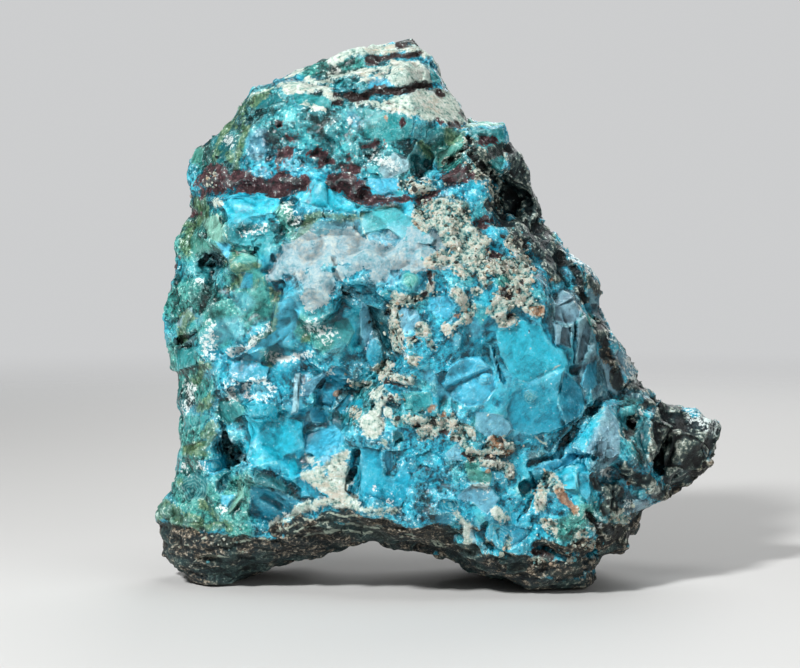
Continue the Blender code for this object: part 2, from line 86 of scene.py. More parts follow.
# %% Where a point of the stone is seen on the sheet
EYE_RISE = math.radians(4.0)
EYE_DISTANCE = 400.0
PICTURE_WIDTH = 144.0
LENS = 100.0
SENSOR = LENS * PICTURE_WIDTH / EYE_DISTANCE
STONE_ASIDE = 7.3  # how far right of the picture's middle the stone's middle is seen
STONE_ABOVE = 4.1  # and how far above it
SHEET_MIDDLE = 48.6  # what the sheet's upward scale reads at the stone's middle

to_eye = np.array((0.0, -math.cos(EYE_RISE), math.sin(EYE_RISE)))
across = np.array((1.0, 0.0, 0.0))
upward = np.array((0.0, math.sin(EYE_RISE), math.cos(EYE_RISE)))
aim = middle - STONE_ASIDE * across - STONE_ABOVE * upward


def on_sheet(points):
    """Each point's place on the layout sheet: across from the stone's middle, and up."""
    away = points - aim
    nearer = EYE_DISTANCE / (EYE_DISTANCE - away @ to_eye)
    return np.stack(((away @ across) * nearer - STONE_ASIDE,
                     (away @ upward) * nearer - STONE_ABOVE + SHEET_MIDDLE), axis=1)


print("stone's middle on the sheet:", np.round(on_sheet(middle[None])[0], 2))

# %% [markdown]
# ## Measuring strokes
#
# A stroke is a half width and the points it runs through, so a single point makes a round patch.
# Strokes could be drawn to an image and looked up, but measuring how deep each place lies inside them
# stays sharp at any scale. Easing lets a form fade out instead of stopping.

# %% Strokes and easing
FAR = 4.0  # depths are not told apart beyond this


def ease(value, start, end):
    share = np.clip((value - start) / (end - start), 0, 1)
    return share * share * (3 - 2 * share)


def distance_to(stroke, place):
    """How far each place is from the line through the stroke's points."""
    corners = [np.array(corner) for corner in stroke[1:]]
    if len(corners) == 1:
        corners = corners * 2
    nearest = np.full(len(place), 1e9)
    for start, end in zip(corners, corners[1:]):
        run = end - start
        share = np.clip((place - start) @ run / max(run @ run, 1e-9), 0, 1)
        nearest = np.minimum(nearest, np.linalg.norm(place - start - share[:, None] * run, axis=1))
    return nearest


def around(stroke, place, reach):
    """Which places a stroke can touch: those within reach of the box that its points fill."""
    corners = np.array(stroke[1:])
    near = (place > corners.min(axis=0) - reach) & (place < corners.max(axis=0) + reach)
    return np.flatnonzero(near.all(axis=1))


def depth_inside(strokes, place):
    """How far inside the nearest stroke each place is, in millimetres, and below 0 outside."""
    depth = np.full(len(place), -FAR)
    for stroke in strokes:
        few = around(stroke, place, stroke[0] + FAR)
        depth[few] = np.maximum(depth[few], stroke[0] - distance_to(stroke, place[few]))
    return np.clip(depth, -FAR, FAR)


def soft_share(strokes, place):
    """A soft patch for each stroke: 1 along its middle, and 0 at its half width and a half."""
    share = np.zeros(len(place))
    for stroke in strokes:
        start, end = 0.2 * stroke[0], 1.5 * stroke[0]
        few = around(stroke, place, end)
        share[few] = np.maximum(share[few], 1 - ease(distance_to(stroke, place[few]), start, end))
    return share


def depth_in_polygon(corners, place):
    """How far inside a polygon each place is, in millimetres, and below 0 outside."""
    corners = np.array(corners)
    inside = np.zeros(len(place), dtype=bool)
    nearest = np.full(len(place), 1e9)
    for start, end in zip(corners, np.roll(corners, -1, axis=0)):
        nearest = np.minimum(nearest, distance_to((0.0, start, end), place))
        crosses = (start[1] > place[:, 1]) != (end[1] > place[:, 1])
        where = start[0] + (place[:, 1] - start[1]) * (end[0] - start[0]) / (end[1] - start[1] or 1e-9)
        inside ^= crosses & (place[:, 0] < where)
    return np.where(inside, nearest, -nearest)


print("a dot of 2 mm is", depth_inside([(2.0, (0, 0))], np.zeros((1, 2)))[0], "mm deep at its middle")

# %% [markdown]
# ## Smooth noise
#
# Nothing on a stone has a ruled edge, so before a stroke is measured the sheet itself is made to
# wander by smooth noise. Blender's own noise, asked point by point, takes minutes on a surface this
# fine. Here all points are done at once, by blending the random slopes at the corners of a cell.

# %% Smooth noise
PERIOD = 48  # the random table repeats after this many cells


def random_table(seed, numbers):
    return np.random.default_rng(seed).random((PERIOD ** 3, numbers))


def table_row(cells):
    """Where in a random table each cell of space has its numbers."""
    wrapped = cells % PERIOD
    return (wrapped[:, 0] * PERIOD + wrapped[:, 1]) * PERIOD + wrapped[:, 2]


def smooth_noise(points, size, seed):
    """Noise from about -1 to 1 whose blobs are as large as size."""
    place = points / size
    home = np.floor(place).astype(int)
    inside = place - home
    share = inside * inside * inside * (inside * (inside * 6 - 15) + 10)
    slopes = random_table(seed, 3) * 2 - 1
    total = np.zeros(len(points))
    for corner in np.ndindex(2, 2, 2):
        step = np.array(corner)
        weight = np.where(step == 1, share, 1 - share).prod(axis=1)
        total += weight * (slopes[table_row(home + step)] * (inside - step)).sum(axis=1)
    return 1.6 * total


def wander(points, size, reach, seed):
    """Two numbers for each point, by which its place on the sheet strays."""
    strays = [smooth_noise(points, size, number) for number in (seed, seed + 1)]
    return reach * np.stack(strays, axis=1)


print("noise repeats after", PERIOD, "cells")

# %% [markdown]
# ## Chips and lumps
#
# Chrysocolla breaks like glass, in small flat chips that follow the lumps below them. Real chips could
# be cut one by one with a boolean, but thousands are wanted. So space is divided into cells round
# scattered seeds. Smooth noise gives a lumpy height, and a whole cell takes the height and the slope
# that the noise has at its seed. This turns the lumps into flat chips that meet in creases and small
# steps. For the crumbly crust each cell is given a rounded lump instead.

# %% Chips and lumps
def seeds_around(points, size, table):
    """For each of the 27 cells around a point: the cell, and the way from its seed to the point."""
    place = points / size
    home = np.floor(place).astype(int)
    inside = place - home
    for corner in np.ndindex(3, 3, 3):
        step = np.array(corner) - 1
        numbers = table[table_row(home + step)]
        yield home + step, inside - step - numbers[:, :3], numbers


def chips(points, size, wave, height, seed):
    """Height of flat chips as large as size, on lumps as large as wave, in millimetres."""
    table = random_table(seed, 3)
    nearest = np.full(len(points), 1e9)
    cells = np.zeros((len(points), 3), dtype=int)
    for cell, away, _ in seeds_around(points, size, table):
        gap = (away * away).sum(axis=1)
        nearer = gap < nearest
        nearest[nearer] = gap[nearer]
        cells[nearer] = cell[nearer]
    keys = cells @ np.array((1, 4096, 4096 * 4096))  # one number for each cell
    _, first, which = np.unique(keys, return_index=True, return_inverse=True)
    seeds = (cells[first] + table[table_row(cells[first])]) * size
    level = smooth_noise(seeds, wave, seed)
    step = 0.05 * wave
    rises = [smooth_noise(seeds + way, wave, seed) - level for way in step * np.eye(3)]
    slope = np.stack(rises, axis=1) / step
    return height * (level[which] + ((points - seeds[which]) * slope[which]).sum(axis=1))


def lumps(points, size, seed):
    """Height of rounded lumps that crowd each other, in millimetres, from 0 in the gaps between."""
    highest = np.zeros(len(points))
    for _, away, numbers in seeds_around(points, size, random_table(seed, 4)):
        reach = 0.44 + 0.36 * numbers[:, 3]
        ball = reach * reach - (away * away).sum(axis=1)
        highest = np.maximum(highest, np.sqrt(np.clip(ball, 0, None)))
    return size * highest


trial = middle + np.arange(30.0)[:, None] * across
print("chips over 30 mm rise by", round(np.ptp(chips(trial, 3.6, 11.0, 1.15, 1)), 2), "mm")

# %% [markdown]
# ## Marks on the face
#
# These are the stone's own minerals, drawn as strokes on the sheet. They could be painted by hand on
# the model, but strokes are short to write and easy to move. Each row starts with the half width, and
# its points follow. All of these have an edge, which the finish later makes ragged: chalk, crumbly
# crust, the brown vein and bands, olive films, the pale dome and the blue islands in it, host rock,
# black crust, rust, round spots that will show as rings, and thin pale threads.

# %% Sharp-edged minerals
MARKS = {
    "chalk": (
        (1.2, (-19, 94.5), (-16.5, 95.8)), (1.3, (-16, 95.8), (-9, 95.6)), (0.7, (-7, 95.8), (-4, 95.6)),
        (0.6, (-3, 95.3), (-0.5, 93), (1, 90), (3, 87), (5, 84.3)), (1.5, (-8, 92.5), (-4, 92.2)),
        (1.6, (-7.5, 90.9), (-3.6, 91)), (2.0, (-4, 86.6), (0, 85.7), (2, 84)), (1.4, (-8.5, 86), (-5, 86.8)),
        (1.3, (1.5, 87.3), (2.5, 85), (3.5, 83)),
        (0.9, (-28.5, 89), (-25, 88.8), (-21.5, 88.6), (-19.5, 87.8)), (0.4, (-24, 90.4), (-20, 89.8)),
        (0.5, (-19.5, 91.3), (-15, 91.2), (-10, 92)), (0.4, (-27.5, 91), (-25, 92)),
        (0.35, (-25, 86), (-22.5, 85.4), (-20.5, 84.9)), (0.5, (-40.8, 68.6), (-39.8, 67.8)),
        (0.8, (-30, 10.3), (-26.5, 12), (-23, 13.7), (-19, 14.4), (-15, 13.4)),
        (0.9, (-24.3, 19.6), (-22, 17.8), (-19.5, 16.2), (-15.5, 14.8)), (2.0, (-18.8, 20.4), (-18.4, 18)),
        (1.3, (-21.6, 19.2), (-19.8, 17.4)), (1.1, (-17.7, 22.2)), (0.9, (-17.6, 16.6)),
        (0.6, (-23.8, 21.8), (-22.6, 21.4)), (1.9, (-12.6, 28.4), (-12.1, 27.6)),
        (1.0, (-11.5, 30.8), (-10.6, 32.4)), (0.8, (-11.7, 33.4), (-10.6, 34.6)),
        (0.8, (-10.2, 25.5), (-9.7, 24.4)), (0.8, (-9.5, 30.4)), (1.2, (10.7, 11.9)),
        (0.7, (4.5, 9.5), (5, 7), (5.3, 5.6)), (0.5, (3, 11.8), (4.8, 10)),
        (1.1, (-14, 10.9), (-12, 9.6), (-9.6, 8.3)), (0.5, (-8.5, 9.2), (-4, 9), (-1, 7.9), (2, 6.6)),
        (0.4, (13, 1.7), (18, 1.4), (26, 1.6)), (0.6, (-16, 13.2), (-12, 12.4), (-8, 12.8)),
        (0.45, (0.6, 7.6), (1.3, 7)), (0.7, (-18.6, 87), (-14.5, 86.2), (-9, 85.4)),
        (1.2, (-10, 85.8), (-4, 84.6), (1, 83.2)), (0.5, (-14, 90.6), (-9, 90.8)),
    ),
    "crust": (
        (2.6, (-2.5, 66), (3, 66.3)), (3.0, (2.4, 63), (6, 60), (5, 57.6)), (2.2, (7.5, 57.6), (12, 57)),
        (2.2, (14, 56.5), (14.8, 53.6)), (1.8, (13, 51.6), (11, 50)), (1.8, (15.6, 50.4), (16.6, 49)),
        (1.3, (9.6, 48.6), (12.4, 47)), (1.4, (0.6, 58.4), (-1.4, 57.2)), (0.9, (2.7, 52.2), (3.8, 50.4)),
        (0.7, (4, 50), (4.8, 48.8)), (0.8, (5.8, 49), (4, 47), (2.6, 46)), (1.0, (1.5, 45.2)),
        (0.9, (-8.8, 49.4), (-8.4, 47), (-7.9, 44.4), (-7.7, 42)),
        (0.9, (-7.5, 51), (-5, 50.3), (-3, 51.5), (-1.6, 54)), (1.2, (-3.5, 46.2), (-2.8, 45)),
        (0.8, (-9.5, 39.4), (-10, 37.5), (-8.8, 36.5), (-5.5, 36)), (0.7, (-15.6, 35.8), (-13.6, 35.5)),
        (0.8, (-7.5, 29), (-5, 28.6), (-2.4, 29), (-0.5, 29.2)), (1.2, (-3.4, 27), (0.8, 28), (2.3, 28.7)),
        (0.9, (3.4, 27.8), (5.4, 26.9), (3.6, 25.7)), (0.8, (4.6, 24.5), (5.8, 23), (7, 22.4)),
        (0.7, (-8, 32.6), (-9.6, 33)), (1.5, (8.8, 24.4), (11.6, 24.2)), (1.1, (8.5, 21.2), (10, 21)),
        (0.6, (11.9, 21), (11.9, 19)), (1.3, (-4, 70.4)), (0.7, (-6.6, 71.4), (-1.6, 71.2)),
        (0.6, (5.6, 74.4), (8, 72.3), (9.9, 69.8), (10.6, 67.3)), (1.1, (-41.2, 72.4)),
        (1.2, (19.4, 18.6), (21, 16.6)), (1.0, (18.4, 17), (18, 13.4)), (1.0, (19, 10), (20.6, 9)),
        (0.9, (25, 8.4), (24.2, 6.6)), (0.9, (26.4, 6.6), (28, 6.6)), (0.7, (23.4, 3.8)),
        (0.8, (17, 3.6), (20, 3.2)), (0.7, (11.9, 8), (11.6, 7)), (1.1, (12.8, 61.5), (14.2, 60)),
        (0.6, (-5.2, 43.4), (-4.4, 43)), (0.6, (-4.8, 40.2), (-4.2, 39.6)), (0.6, (-2, 43), (-1.6, 42)),
        (1.0, (31.6, 11.8), (32.8, 10.8)), (1.0, (-39, 6.8), (-38, 6.8)), (0.6, (-16.2, 31), (-15.4, 30.2)),
        (0.5, (7.6, 55), (8.4, 53.4)), (0.6, (6, 52), (7, 52.2)), (0.9, (-11.4, 38.4), (-10.6, 37)),
    ),
    "vein": (
        (1.7, (-42.4, 72.6), (-40, 73.2), (-38.6, 72)), (1.1, (-42, 69.6), (-40.4, 70.4)),
        (2.2, (-36, 72), (-34.5, 71.7)), (1.9, (-34, 71.8), (-31.5, 71.2)), (1.6, (-31.5, 71.2), (-29, 70.8)),
        (1.6, (-28.7, 72), (-27, 71.6), (-25, 71.4)), (0.8, (-28.4, 69.8), (-27, 70.3)),
        (1.6, (-19.4, 72.2), (-17.6, 71.7), (-15.6, 71), (-14, 69.8)), (1.4, (-14, 69.3), (-13, 68.4)),
        (0.9, (-12.5, 68.4), (-10, 68.8), (-9, 68.7)),
        (0.5, (-9, 69), (-5, 68.5), (-2.5, 69), (0, 70.6), (3, 71.3)),
        (1.5, (1.6, 72), (3.5, 72.8), (4.4, 73.6)), (1.3, (-28.5, 76.4), (-27.6, 77.2)),
        (0.6, (-27.4, 80.3), (-26.1, 79.8)), (1.0, (-22.5, 77), (-21, 76.8)),
        (0.8, (-22, 75.3), (-19.6, 75.8)), (0.9, (-17, 74.6), (-15.4, 74)), (0.5, (-18, 74.6), (-16.6, 74)),
        (0.45, (-16.5, 76.3)), (0.4, (-14, 78), (-12, 78.3), (-10.6, 79)), (0.5, (-13, 76.5), (-12, 76.1)),
        (0.5, (-6.5, 82.7)), (0.3, (-1, 82.8), (0, 82.3)), (0.45, (-29, 82)), (1.0, (7, 79.4), (9.3, 79.2)),
        (0.7, (7, 64.5), (8.3, 65.2)), (0.6, (8.6, 59.4), (11.5, 58.6)),
        (0.9, (-48.6, 60), (-48.6, 57), (-49.6, 53.5), (-51, 50.5)), (0.7, (-44.6, 66.4), (-44, 66.6)),
        (0.5, (-8.8, 32.6), (-8, 31.6)),
    ),
    "band": (
        (0.7, (-12.8, 93.8), (-10.5, 93.7)), (0.6, (-10, 94), (-7, 94.5), (-4, 95.1)),
        (0.6, (-7.8, 96.8), (-4.2, 96.8)), (0.55, (-19, 88), (-17.3, 87.5)),
        (0.9, (-17.3, 87.3), (-15, 87), (-13.3, 87.2)),
        (0.65, (-13, 88), (-10, 88.2), (-7, 88.6), (-4.5, 89.3), (-2, 89.2)), (0.5, (-19, 86), (-17.7, 86.2)),
        (0.55, (-0.2, 88.2), (0.3, 87.6)), (0.3, (-4.5, 85)), (0.3, (-14.5, 96.7)), (0.35, (-9.8, 85.8)),
        (0.3, (1.5, 82), (3.8, 81.8)), (0.35, (-4.4, 43.5)), (0.5, (-2, 55), (-1.5, 54)),
        (0.5, (-4, 50.6), (-2.6, 51.8)), (0.4, (11.8, 52.6), (12, 51.2)), (0.4, (13.4, 53), (14.4, 53.4)),
        (0.3, (11.8, 47.2), (12.8, 48.2)), (0.5, (8.6, 22), (9.6, 21.9)), (0.5, (9.8, 25.5), (11, 25.3)),
        (0.7, (16.8, 5.3), (18.6, 5.4), (20, 4.6)), (0.35, (4.4, 23.2), (5.7, 22.4)),
        (0.4, (-10, 36), (-7, 35.2)), (0.4, (0.2, 27.2), (1.4, 26.6)), (0.35, (-4, 28), (-4.6, 27.6)),
    ),
    "olive": (
        (0.6, (-35.5, 86.5), (-35.8, 83.5), (-35, 80), (-36, 77.5), (-36.5, 74.5)),
        (0.5, (-38.5, 82), (-37, 82)), (1.1, (-43.5, 68.5), (-43, 66)),
        (0.8, (-26.5, 61), (-25, 62.8), (-23.5, 65), (-21, 66), (-18, 65.3)),
        (0.5, (-18, 65.3), (-15, 65), (-14, 65.8)), (0.6, (-37.5, 55.6), (-35, 56.6), (-32.5, 57.4)),
        (0.7, (-36.5, 54.5), (-37.5, 53)),
        (0.6, (-29.5, 52), (-29.5, 49), (-30, 46.5), (-31.5, 44.5), (-34, 43.3)), (0.8, (-24.5, 43.5)),
        (0.5, (-30.8, 39)), (0.9, (-42, 26.5), (-41, 28)), (0.9, (-45.5, 23.5), (-42.5, 23.5)),
        (1.5, (-52, 13.4), (-47.5, 11.6), (-44, 10)), (0.8, (-42, 9.8), (-38, 9.8)), (0.8, (-46.8, 17.8)),
        (1.1, (1.5, 79.6), (3.2, 80.2)), (0.8, (-3.5, 78.8), (-2, 77)), (0.6, (1, 81.2), (4, 80.8)),
        (0.6, (16.6, 73), (17.5, 71.4)), (0.45, (19.2, 65), (20, 62), (20.8, 60.5)),
        (0.6, (-38, 57.6), (-37, 59)), (0.5, (-43, 14), (-40, 11.5)), (0.6, (-42, 70), (-43.6, 64)),
        (0.6, (16, 33.8)), (0.5, (-33, 53), (-32, 54)), (0.5, (-40.5, 76), (-39.5, 80), (-37, 85)),
        (0.6, (-34, 86), (-31, 88)), (0.6, (-37, 74), (-38.4, 77.4)), (1.2, (-46, 60), (-45.4, 64)),
        (0.9, (-46.6, 44), (-45.4, 48)), (0.8, (-44, 36), (-42.4, 39)), (0.8, (-43.6, 31), (-41, 33)),
    ),
    "dome": (
        (1.4, (-27, 60), (-24, 61)), (1.2, (-14.6, 60.4), (-11.6, 59.6)), (1.2, (-1.8, 62.4), (0.2, 60.4)),
        (1.0, (-18, 55.4), (-15.6, 56)), (2.4, (-27, 57.4), (-23, 58)), (2.7, (-20.5, 60), (-16, 59.4)),
        (2.1, (-24, 54.4), (-20.6, 54.2)), (1.7, (-23.5, 51.6), (-22, 51.4)), (2.4, (-14, 58), (-9, 58.2)),
        (1.6, (-12, 55.4), (-10.8, 55.4)), (2.1, (-6, 60), (-3, 59.4)), (1.6, (-8, 57.4), (-3, 57.4)),
        (1.3, (-2, 57.4), (0, 57)), (1.1, (-21.5, 62.2), (-16, 62.2)), (1.1, (-5.4, 62.6), (-2.6, 61.2)),
        (1.0, (-30, 55), (-29, 57)),
    ),
    "islands": (
        (0.9, (-21.8, 62.5), (-20.6, 62.8)), (1.0, (-11.9, 62)), (0.9, (-14.5, 55.2), (-13.4, 55)),
        (0.8, (-25.6, 52.9), (-25, 51.7)), (0.4, (-24.3, 55.8)), (0.3, (-3.4, 58.4)),
        (0.5, (-27.8, 54.8), (-27.4, 53.4)),
    ),
    "matrix": (
        (4.8, (-50, 4), (-38, 3), (-32, 2.6)), (1.8, (-52, 9), (-44, 7.2), (-40, 5.5)),
        (1.5, (-37, 6.4), (-30, 6.2), (-26, 6.6)), (1.2, (-27, 8.8), (-22, 9.6)), (1.2, (-24, 7), (-18, 8.6)),
        (1.1, (-21, 11.4), (-16, 11.5)), (0.8, (-17, 8.6), (-12, 7.4)),
        (0.6, (-9, 7.3), (-3, 6.9), (1, 5.8), (5, 4.7)), (1.1, (5, 3.8), (8, 3.4), (12, 2.8)),
        (1.4, (12, 2.6), (18, 2.2), (24, 1.8)), (1.2, (25, 3.4), (28, 3)), (1.1, (29.4, 5.4), (33, 7)),
        (1.2, (34, 9), (36, 11)), (0.8, (-30, 9.5), (-25, 11)),
        (0.9, (-29, 8.9), (-24, 10.4), (-20, 11.4), (-16, 12)), (0.7, (-16, 11.8), (-11, 10.6), (-7, 9.4)),
        (0.8, (-50, 10), (-45, 8.6), (-40, 7.4)), (0.6, (21, 64), (24, 60.5), (27, 57.5)),
        (1.6, (30.4, 55), (32, 50), (33, 46)), (1.1, (33.4, 43), (35, 40), (37, 37.6)),
        (0.8, (29.6, 41.6), (31, 38)), (1.4, (38.6, 37), (43, 33.6)), (1.2, (46, 18.5), (49.5, 21), (51, 25)),
        (1.2, (41, 15), (46, 17)),
    ),
    "black": (
        (1.7, (13, 77.6), (14.3, 75.4)), (1.4, (12.5, 73), (16, 73)), (3.2, (13, 69.5)),
        (1.9, (16.6, 70), (17.2, 67)), (2.4, (14.8, 64.4), (17.6, 62.4)), (2.2, (18.2, 60.4), (20.4, 58.4)),
        (0.9, (9, 68), (12.4, 63.6), (15.4, 59.6)), (1.1, (23.2, 57.4), (25, 54), (25.8, 51)),
        (0.9, (19, 57), (21, 54.6)), (1.2, (6.4, 77), (8.4, 73.6), (10, 72)), (0.5, (0.6, 75.4), (4.6, 78.2)),
        (0.9, (5, 79.6), (6, 79)), (0.9, (34.4, 28.6), (34, 26.6)), (2.8, (40.6, 28), (40.6, 23)),
        (2.4, (44, 24.4), (46, 21.4)), (0.8, (36.6, 31.4), (39, 33)), (1.3, (33, 20), (37, 18)),
        (2.0, (42, 18.6), (47, 19.6)), (1.6, (30.4, 13), (31, 16.4)), (1.4, (29, 9.4), (33, 8)),
        (1.4, (38.6, 16.4), (40.6, 15.4)), (0.9, (27.6, 18.4), (29, 17)), (1.2, (31, 39), (32, 35.6)),
        (1.0, (35.6, 41), (36.6, 38)), (1.2, (28.6, 46), (29.6, 43)), (1.4, (35, 36), (38.6, 36)),
        (0.8, (26.6, 55), (28.6, 52.4)), (1.0, (8.6, 76.4), (11, 78)), (0.8, (17.6, 74), (19, 69)),
        (0.7, (4.8, 83.8), (4.2, 84.6)), (0.8, (26.8, 12), (27.6, 10.4)), (2.0, (44, 28), (41, 30.6)),
        (2.8, (44, 27), (53, 26)), (1.6, (50, 23), (53, 24)), (1.6, (33, 46), (36, 42)),
        (1.4, (31.6, 50), (33.6, 46)),
    ),
    "rust": (
        (0.8, (21.2, 15.8), (22, 14.8)), (0.9, (22.6, 14), (24, 12.8)), (0.55, (-1.7, 30.9)),
        (0.35, (-10.3, 83)), (0.9, (9.6, 24.9), (10.6, 24.7)), (0.7, (12, 23.2)),
        (0.9, (16.4, 48.8), (17.8, 48.4)), (0.6, (46.3, 24)), (0.5, (34, 18)), (0.6, (14.4, 60.4)),
        (0.4, (0.4, 30)), (0.5, (-4.8, 71)), (0.5, (-18.4, 33.8)), (0.5, (27.6, 6.6)), (0.4, (20, 54.3)),
        (0.5, (3, 48)),
    ),
    "agate": (
        (2.5, (-44.6, 16.4)), (1.0, (-41, 20.8), (-40, 20.8)), (1.4, (-5.9, 53.6)), (1.1, (-11.9, 62)),
        (1.0, (-25.4, 52.4)), (2.2, (7.8, 37.2)), (1.2, (16.2, 33.2)), (2.3, (10.6, 8)), (1.2, (-4.4, 64)),
        (1.6, (1.6, 13.4)), (1.2, (-9.6, 62.6)), (1.6, (-32.5, 34.2)), (1.3, (-44.4, 28.6)),
    ),
    "thread": (
        (0.25, (-29.4, 9.2), (-24, 11), (-19, 12), (-14.6, 11.6)),
        (0.18, (-28, 8.4), (-22, 10), (-16, 10.4), (-11, 9.4)), (0.2, (-24, 8.2), (-18, 9.2), (-12.6, 8.8)),
        (0.14, (-38, 6.6), (-32, 7.6), (-27, 7.6)), (0.14, (-47, 6.2), (-43, 7.6), (-40, 7.8)),
        (0.12, (-45, 3.6), (-41, 4.8), (-38, 4.4)), (0.14, (-8, 8.2), (-3, 7.6), (1, 6.4)),
        (0.14, (-34.4, 87), (-32, 88.3), (-29.5, 88), (-27.6, 86.3)), (0.12, (-13.8, 64), (-12.5, 61)),
        (0.14, (15, 35.8), (19, 38), (22.4, 39.4)), (0.08, (15.5, 41), (18, 44)),
        (0.12, (-29.5, 8.8), (-36, 9.4)), (0.12, (29.9, 32.3), (27.9, 28.6), (26.2, 24.4)),
        (0.1, (23, 55.4), (25.4, 53.2), (27, 52.4)), (0.12, (-44, 75.4), (-42.2, 78.2)),
        (0.1, (24.9, 50), (26, 48), (26.8, 45.4)), (0.14, (-40.6, 66), (-36.6, 59), (-38, 57.4)),
        (0.1, (32.4, 27), (33.6, 25.4), (34.6, 23.6)), (0.12, (37.9, 30), (38, 27), (37.6, 24)),
        (0.1, (5.6, 15), (9, 14.6)), (0.1, (17, 19), (15.9, 16), (15.8, 12.6)),
        (0.12, (7.6, 10), (7.5, 8), (9, 6)), (0.1, (0.6, 14.4), (2.4, 12)),
        (0.1, (-1.4, 12), (-0.6, 9.4), (1, 9.2)), (0.1, (16, 26.8), (19, 24.6)),
        (0.12, (13, 26), (14.4, 22.4)),
    ),
}
print("sharp strokes:", sum(len(strokes) for strokes in MARKS.values()))

# %% [markdown]
# ## Soft leanings of the blue mass
#
# The blue mass has no borders inside it. It only turns greener, deeper or milkier, calm here and
# glittering there. So these strokes are soft: each fades out from its middle.

